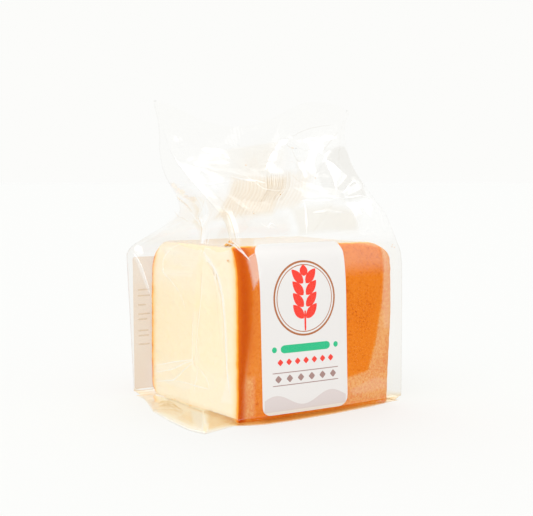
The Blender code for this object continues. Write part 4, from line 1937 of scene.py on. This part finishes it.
@dataclass
class FrontLabel:
    """The white printed panel on the front, with a plain bakery design."""

    surface: FilmSurface
    left: float = 10.6
    right: float = 57.5
    low: float = 2.0
    high: float = 77.6
    corner: float = 4.5
    slant: float = 0.026
    under_film: float = -0.14
    ink_step: float = 0.04
    lean_start: float = 70.0
    lean_end: float = 78.5
    lean_depth: float = 1.2
    medal_height: float = 53.0
    medal_radius: float = 16.8
    medal_stroke: float = 0.9
    grain_length: float = 8.6
    grain_width: float = 4.3
    grain_pairs: int = 4
    grain_pitch: float = 5.2
    grain_lean: float = 42.0
    ribbon_height: float = 31.0
    beads_height: float = 25.2
    rule_heights: Plan = (20.6, 15.0)
    marks_height: float = 17.8

    def wheat(self, middle: float) -> list[Ink]:
        """Makes the ear of wheat in the medal."""
        foot = self.medal_height - 12
        grains = [Ink.block(1, 9, 0.4).moved(middle, foot + 2)]
        for pair in range(self.grain_pairs):
            level = foot + 3 + pair * self.grain_pitch
            for side in (-1, 1):
                grain = Ink.grain(self.grain_length, self.grain_width)
                grains.append(grain.moved(middle + side * 0.7, level, -side * self.grain_lean))
        top = foot + 1 + self.grain_pairs * self.grain_pitch
        return [*grains, Ink.grain(self.grain_length - 3.4, self.grain_width).moved(middle, top)]

    def build(self) -> list[Piece]:
        """Builds the label.

        Returns:
            Its pieces.
        """
        x = (self.left + self.right) / 2
        width, height = self.right - self.left, self.high - self.low
        ground = [Ink.block(width, height, self.corner).moved(x, (self.low + self.high) / 2)]
        hills = [Ink.hills(width - 2, 2.2, 5, 1.5, 0.2).moved(x, self.low + 1.4)]
        medal = [Ink.ring(self.medal_radius - inset, stroke).moved(x, self.medal_height)
                 for inset, stroke in ((0, self.medal_stroke), (1.7, 0.4))]
        ribbon = [Ink.block(27, 3.6, 1.8).moved(x, self.ribbon_height)]
        ribbon += [Ink.block(2.6, 2.6, 1.3).moved(x + side * 16.8, self.ribbon_height)
                   for side in (-1, 1)]
        beads = [Ink.block(2.3, 2.3, 0.3).moved(x + 4.6 * (place - 3), self.beads_height, 45)
                 for place in range(7)]
        rules = [Ink.block(36, 0.4, 0.1).moved(x, level) for level in self.rule_heights]
        rules += [Ink.block(2.6, 2.6, 0.3).moved(x + 6 * (place - 2.5), self.marks_height, 45)
                  for place in range(6)]
        layers = (
            ("ground", ground, "white", (0.79, 0.77, 0.76), 0),
            ("hills", hills, "pale_mauve", (0.69, 0.62, 0.61), 1),
            ("medal", medal, "brown", (0.42, 0.13, 0.03), 1),
            ("wheat", self.wheat(x), "red", (0.90, 0.025, 0.006), 1),
            ("beads", beads, "red_beads", (0.86, 0.03, 0.012), 1),
            ("ribbon", ribbon, "green", (0, 0.50, 0.22), 1),
            ("rules", rules, "mauve", (0.36, 0.22, 0.20), 2),
        )
        return [lay_prints("label_" + name, shapes, self.surface, Run.FRONT, self.depth_of(level),
                           "label_print", PrintFinish("label_" + ink, colour).build(), self.slant)
                for name, shapes, ink, colour, level in layers]

    def depth_of(self, level: int) -> Callable[[Array], Array]:
        """Gives how far a layer stands outwards by height; the top leans back over the edge."""
        return lambda height: (self.under_film + self.ink_step * level - self.lean_depth
                               * ramp(height, self.lean_start, self.lean_end) ** 2)


@dataclass
class BackPrint:
    """The beige printed fields on the back, with plain rules and bars."""

    surface: FilmSurface
    seed: int = 21
    on_film: float = 0.08
    low_field: Four = (-9.0, 30.0, 3.2, 68.0)
    right_field: Four = (54.0, 84.0, 3.2, 68.0)
    high_field: Four = (-4.0, 76.0, 81.0, 124.0)
    rule_low: float = 25.0
    rule_high: float = 53.0
    rule_width: float = 0.8
    bars_left: float = 45.0
    bars_right: float = 58.5
    bars_low: float = 94.0
    bars_high: float = 109.0
    # How strongly parts of the high field show: weaker where the front film's reflections veil it, a
    # painted veil of reflected light.
    strong: tuple[tuple[Patch, float], ...] = (
        (Patch(((24, 87), (57, 89), (57, 107), (24, 106)), blur=3), 1),
        (Patch(((55, 90), (70, 93), (70, 107), (55, 109)), blur=3), 0.5),
        (Patch(((25, 104), (56, 104), (53, 121), (30, 119)), blur=4), 0.13),
        (Patch(((0, 85), (22, 84), (26, 98), (2, 97)), blur=4), 0.25),
    )

    def fade(self, across: Array, height: Array) -> Array:
        """Gives how strongly the back print shows at each place: weaker on the high field where a
        painted veil of reflected light stands over it.
        """
        high = np.max([level * patch.cover(across, height) for patch, level in self.strong],
                      axis=0)
        return np.where(height < 75, 1, high)

    def field(self, sides: Four) -> Ink:
        """Makes one beige field.

        Args:
            sides: Its left, right, low and high edges.

        Returns:
            The shape.
        """
        left, right, low, high = sides
        block = Ink.block(right - left, high - low, 1.2, 1)
        return block.moved((left + right) / 2, (low + high) / 2)

    def rules(self) -> list[Ink]:
        """Draws the ruled rows of the low fields."""
        rng = np.random.default_rng(self.seed)
        rows = []
        for left, reach in ((-6.4, 6.6), (60, 18)):
            level = self.rule_low
            while level < self.rule_high:
                length = reach * rng.uniform(0.55, 1)
                rows.append(Ink.block(length, self.rule_width, 0.1, 1.4)
                            .moved(left + length / 2, level))
                level += rng.uniform(2.2, 5.6)
        return rows

    def bars(self) -> list[Ink]:
        """Draws the block of upright bars of the high field."""
        rng = np.random.default_rng(self.seed + 1)
        bars, place = [], self.bars_left
        while place < self.bars_right:
            width = float(rng.choice((0.35, 0.6, 0.9)))
            tall = self.bars_high - self.bars_low
            bars.append(Ink.block(width, tall, 0, 0.9)
                        .moved(place + width / 2, (self.bars_low + self.bars_high) / 2))
            place += width + float(rng.choice((0.45, 0.8)))
        return bars

    def build(self) -> list[Piece]:
        """Builds the fields, rules and bars.

        Returns:
            The pieces.
        """
        beige = PrintFinish("back_beige", (0.86, 0.62, 0.37), 0.16, (0.925, 0.82, 0.725), 0.3)
        pale = PrintFinish("back_pale_beige", (0.88, 0.66, 0.40), 0.12, (0.98, 0.90, 0.79), 0.3,
                           stripes=0.16, stripe_pitch=2.1)
        brown = PrintFinish("back_brown", (0.50, 0.34, 0.22), 0.08, (0.90, 0.85, 0.78), 0.3)
        low = [self.field(sides) for sides in (self.low_field, self.right_field)]
        high = [self.field(self.high_field)]
        dark = brown.build()
        layers = (("back_low_fields", low, beige.build(), 0),
                  ("back_high_field", high, pale.build(), 0),
                  ("back_rules", self.rules(), dark, 0.05), ("back_bars", self.bars(), dark, 0.05))
        return [lay_prints(name, shapes, self.surface, Run.BACK,
                           lambda height, depth=self.on_film + rise: depth, "back_print", ink,
                           fade=self.fade) for name, shapes, ink, rise in layers]


# --- loose crumbs


@dataclass
class LooseCrumbs:
    """Crumbs that have dropped into the folds of the bag."""

    surface: FilmSurface
    seed: int = 5
    floor_count: int = 14
    floor_level: float = 1.9
    size_low: float = 0.2
    size_high: float = 0.5
    head_spots: tuple[Plan, ...] = (
        (88.5, 75), (89.2, 73.6), (87.6, 74.2), (24, 112), (58, 106), (14, 91),
        (71, 118), (33, 98),
    )
    gold_spots: tuple[Four, ...] = (
        (1.2, 4.2, 77.5, 2.2), (2.2, 5.8, 77.7, 2.4), (0.8, 7.4, 77.4, 1.8),
    )
    crust_spots: tuple[Four, ...] = ((-0.6, 4.1, 70.4, 0.9), (-0.5, 3.1, 69.9, 0.5))

    def build(self, finish: Material) -> Piece:
        """Builds the crumbs.

        Args:
            finish: The crumbs' material.

        Returns:
            The piece.
        """
        rng = np.random.default_rng(self.seed)
        spots = []
        for _ in range(self.floor_count):
            y = rng.uniform(4, 72)
            x = -0.8 - abs(rng.normal(0, 1.5))
            size = rng.uniform(self.size_low, self.size_high)
            spots.append((np.array((x, y, self.floor_level + 0.35 * size)), size))
        for across, height in self.head_spots:
            place = self.surface.on(Run.FRONT, np.array([across]), np.array([height]), -0.5)
            spots.append((place[0], rng.uniform(0.35, 0.6)))
        spots += [(np.array(spot[:3]), spot[3]) for spot in self.gold_spots + self.crust_spots]
        crumbs = bmesh.new()
        for place, size in spots:
            made = bmesh.ops.create_icosphere(crumbs, subdivisions=1, radius=0.5 * size * MM)
            for vertex in made["verts"]:
                vertex.co *= 1 + 0.35 * float(rng.normal())
            bmesh.ops.translate(crumbs, verts=made["verts"], vec=CORNER.to_frame(place))
        return new_piece("loose_crumbs", crumbs, "crumb", finish)


# --- the studio


@dataclass(frozen=True)
class SoftBox:
    """A broad soft light at a great distance.

    Its azimuth runs from the front to the right. It is at its full strength within its core and
    fades out to its spread. All angles are in degrees.
    """

    azimuth: float
    elevation: float
    strength: float
    core: float
    spread: float

    def direction(self) -> Vector:
        """Gives the direction towards the light."""
        a, e = math.radians(self.azimuth), math.radians(self.elevation)
        return Vector((math.sin(a) * math.cos(e), -math.cos(a) * math.cos(e), math.sin(e)))


@dataclass
class Studio:
    """The camera, the light and the floor."""

    camera_place: tuple[float, float, float] = (-246.2, -399.7, 105.4)
    yaw: float = 33.35
    pitch: float = 4.09
    lens: float = 73.9
    sensor: float = 36.0
    floor_size: float = 60.0
    backdrop: Colour = (0.973, 0.973, 0.956)
    tent: float = 1.04
    boxes: tuple[SoftBox, ...] = (
        SoftBox(-62, 44, 1.3, 20, 36),
        SoftBox(150, 48, 0.9, 18, 34),
        SoftBox(40, 62, 0.4, 12, 28),
    )

    def camera(self) -> Piece:
        """Sets up the camera where the photograph was taken from.

        Returns:
            The camera.
        """
        data = bpy.data.cameras.new("photo_camera")
        data.lens = self.lens
        data.sensor_width = self.sensor
        data.clip_start = 0.01
        data.clip_end = 200
        camera = bpy.data.objects.new("photo_camera", data)
        bpy.context.scene.collection.objects.link(camera)
        camera.location = Vector(CORNER.to_frame(np.array(self.camera_place)))
        yaw, pitch = math.radians(self.yaw), math.radians(self.pitch)
        forward = Vector((math.sin(yaw) * math.cos(pitch), math.cos(yaw) * math.cos(pitch),
                          -math.sin(pitch)))
        camera.rotation_euler = forward.to_track_quat("-Z", "Y").to_euler()
        bpy.context.scene.camera = camera
        return camera

    def floor(self) -> Piece:
        """Lays the floor, with its top at the pack's foot.

        Returns:
            The floor.
        """
        ground = bmesh.new()
        bmesh.ops.create_grid(ground, x_segments=4, y_segments=4, size=self.floor_size / 2)
        mesh = bpy.data.meshes.new("floor")
        ground.to_mesh(mesh)
        ground.free()
        mesh.materials.append(FloorFinish().build())
        floor = bpy.data.objects.new("floor", mesh)
        bpy.context.scene.collection.objects.link(floor)
        floor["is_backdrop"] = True
        return floor

    def sky(self) -> None:
        """Surrounds the scene with an even pale tent and the soft boxes that light it."""
        world = bpy.data.worlds.new("studio")
        bench = Bench(world)
        seen, lit = (bench.add("Background", Color=(*self.backdrop, 1)) for _ in range(2))
        towards = bench.add("TexCoord").outputs["Generated"]
        total = None
        for box in self.boxes:
            aim = bench.add("VectorMath", operation="DOT_PRODUCT")
            bench.join(towards, aim.inputs[0])
            bench.join(box.direction(), aim.inputs[1])
            floor = self.tent if total is None else 0
            glow = bench.add("MapRange", interpolation_type="SMOOTHSTEP", To_Min=floor,
                             Value=aim.outputs["Value"], To_Max=floor + box.strength,
                             From_Min=math.cos(math.radians(box.spread)),
                             From_Max=math.cos(math.radians(box.core))).outputs["Result"]
            total = glow if total is None else bench.plus(total, glow)
        bench.join(total, lit.inputs["Strength"])
        by_eye = bench.add("LightPath").outputs["Is Camera Ray"]
        bench.add("OutputWorld", Surface=bench.shaders(by_eye, lit, seen))
        bpy.context.scene.world = world

    def build(self) -> None:
        """Sets up the whole studio."""
        self.camera()
        self.floor()
        self.sky()
        bpy.context.scene.view_settings.view_transform = "Standard"


# --- everything in order


def main() -> None:
    """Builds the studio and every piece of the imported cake."""
    logging.basicConfig(level=logging.INFO, format="%(name)s: %(message)s")
    Studio().build()
    form = PackForm()
    look = FilmLook()
    surface = FilmSurface(form, CreaseMap(look.front))
    sponge = SpongeFinish().build()
    film = FilmFinish().build()
    pieces = [SpongeBlock(form).build(sponge)]
    bag = FilmBag(surface, look=look)
    pieces.append(bag.build(film))
    for inside_out in pieces:
        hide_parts(PACK_NODE)
    pieces.append(BackSeam(surface).build(film))
    pieces.append(FoldLines(surface, bag.foot).build(film))
    pieces += FrontLabel(surface).build()
    for unshaded in pieces[1:]:
        unshaded.visible_shadow = False
        unshaded.visible_diffuse = False
        unshaded.visible_glossy = False
    pieces += BackPrint(surface).build()
    crumb = PrintFinish("crumb_bits", (0.88, 0.46, 0.12), speckle=0.4, roughness=0.8).build()
    pieces.append(LooseCrumbs(surface).build(crumb))
    for piece in pieces:
        LOG.info("%s: %d faces", piece.name, len(piece.data.polygons))


def write_sizes() -> None:
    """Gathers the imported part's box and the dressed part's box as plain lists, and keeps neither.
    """
    def plain(box: Sequence[Vector]) -> list[list[float]]:
        """Gives a box's corners as lists of numbers."""
        return [[float(value) for value in corner] for corner in box]

    {"cad": plain(CAD_BOX), "visual": plain(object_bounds())}


if __name__ == "__main__":
    main()
    write_sizes()
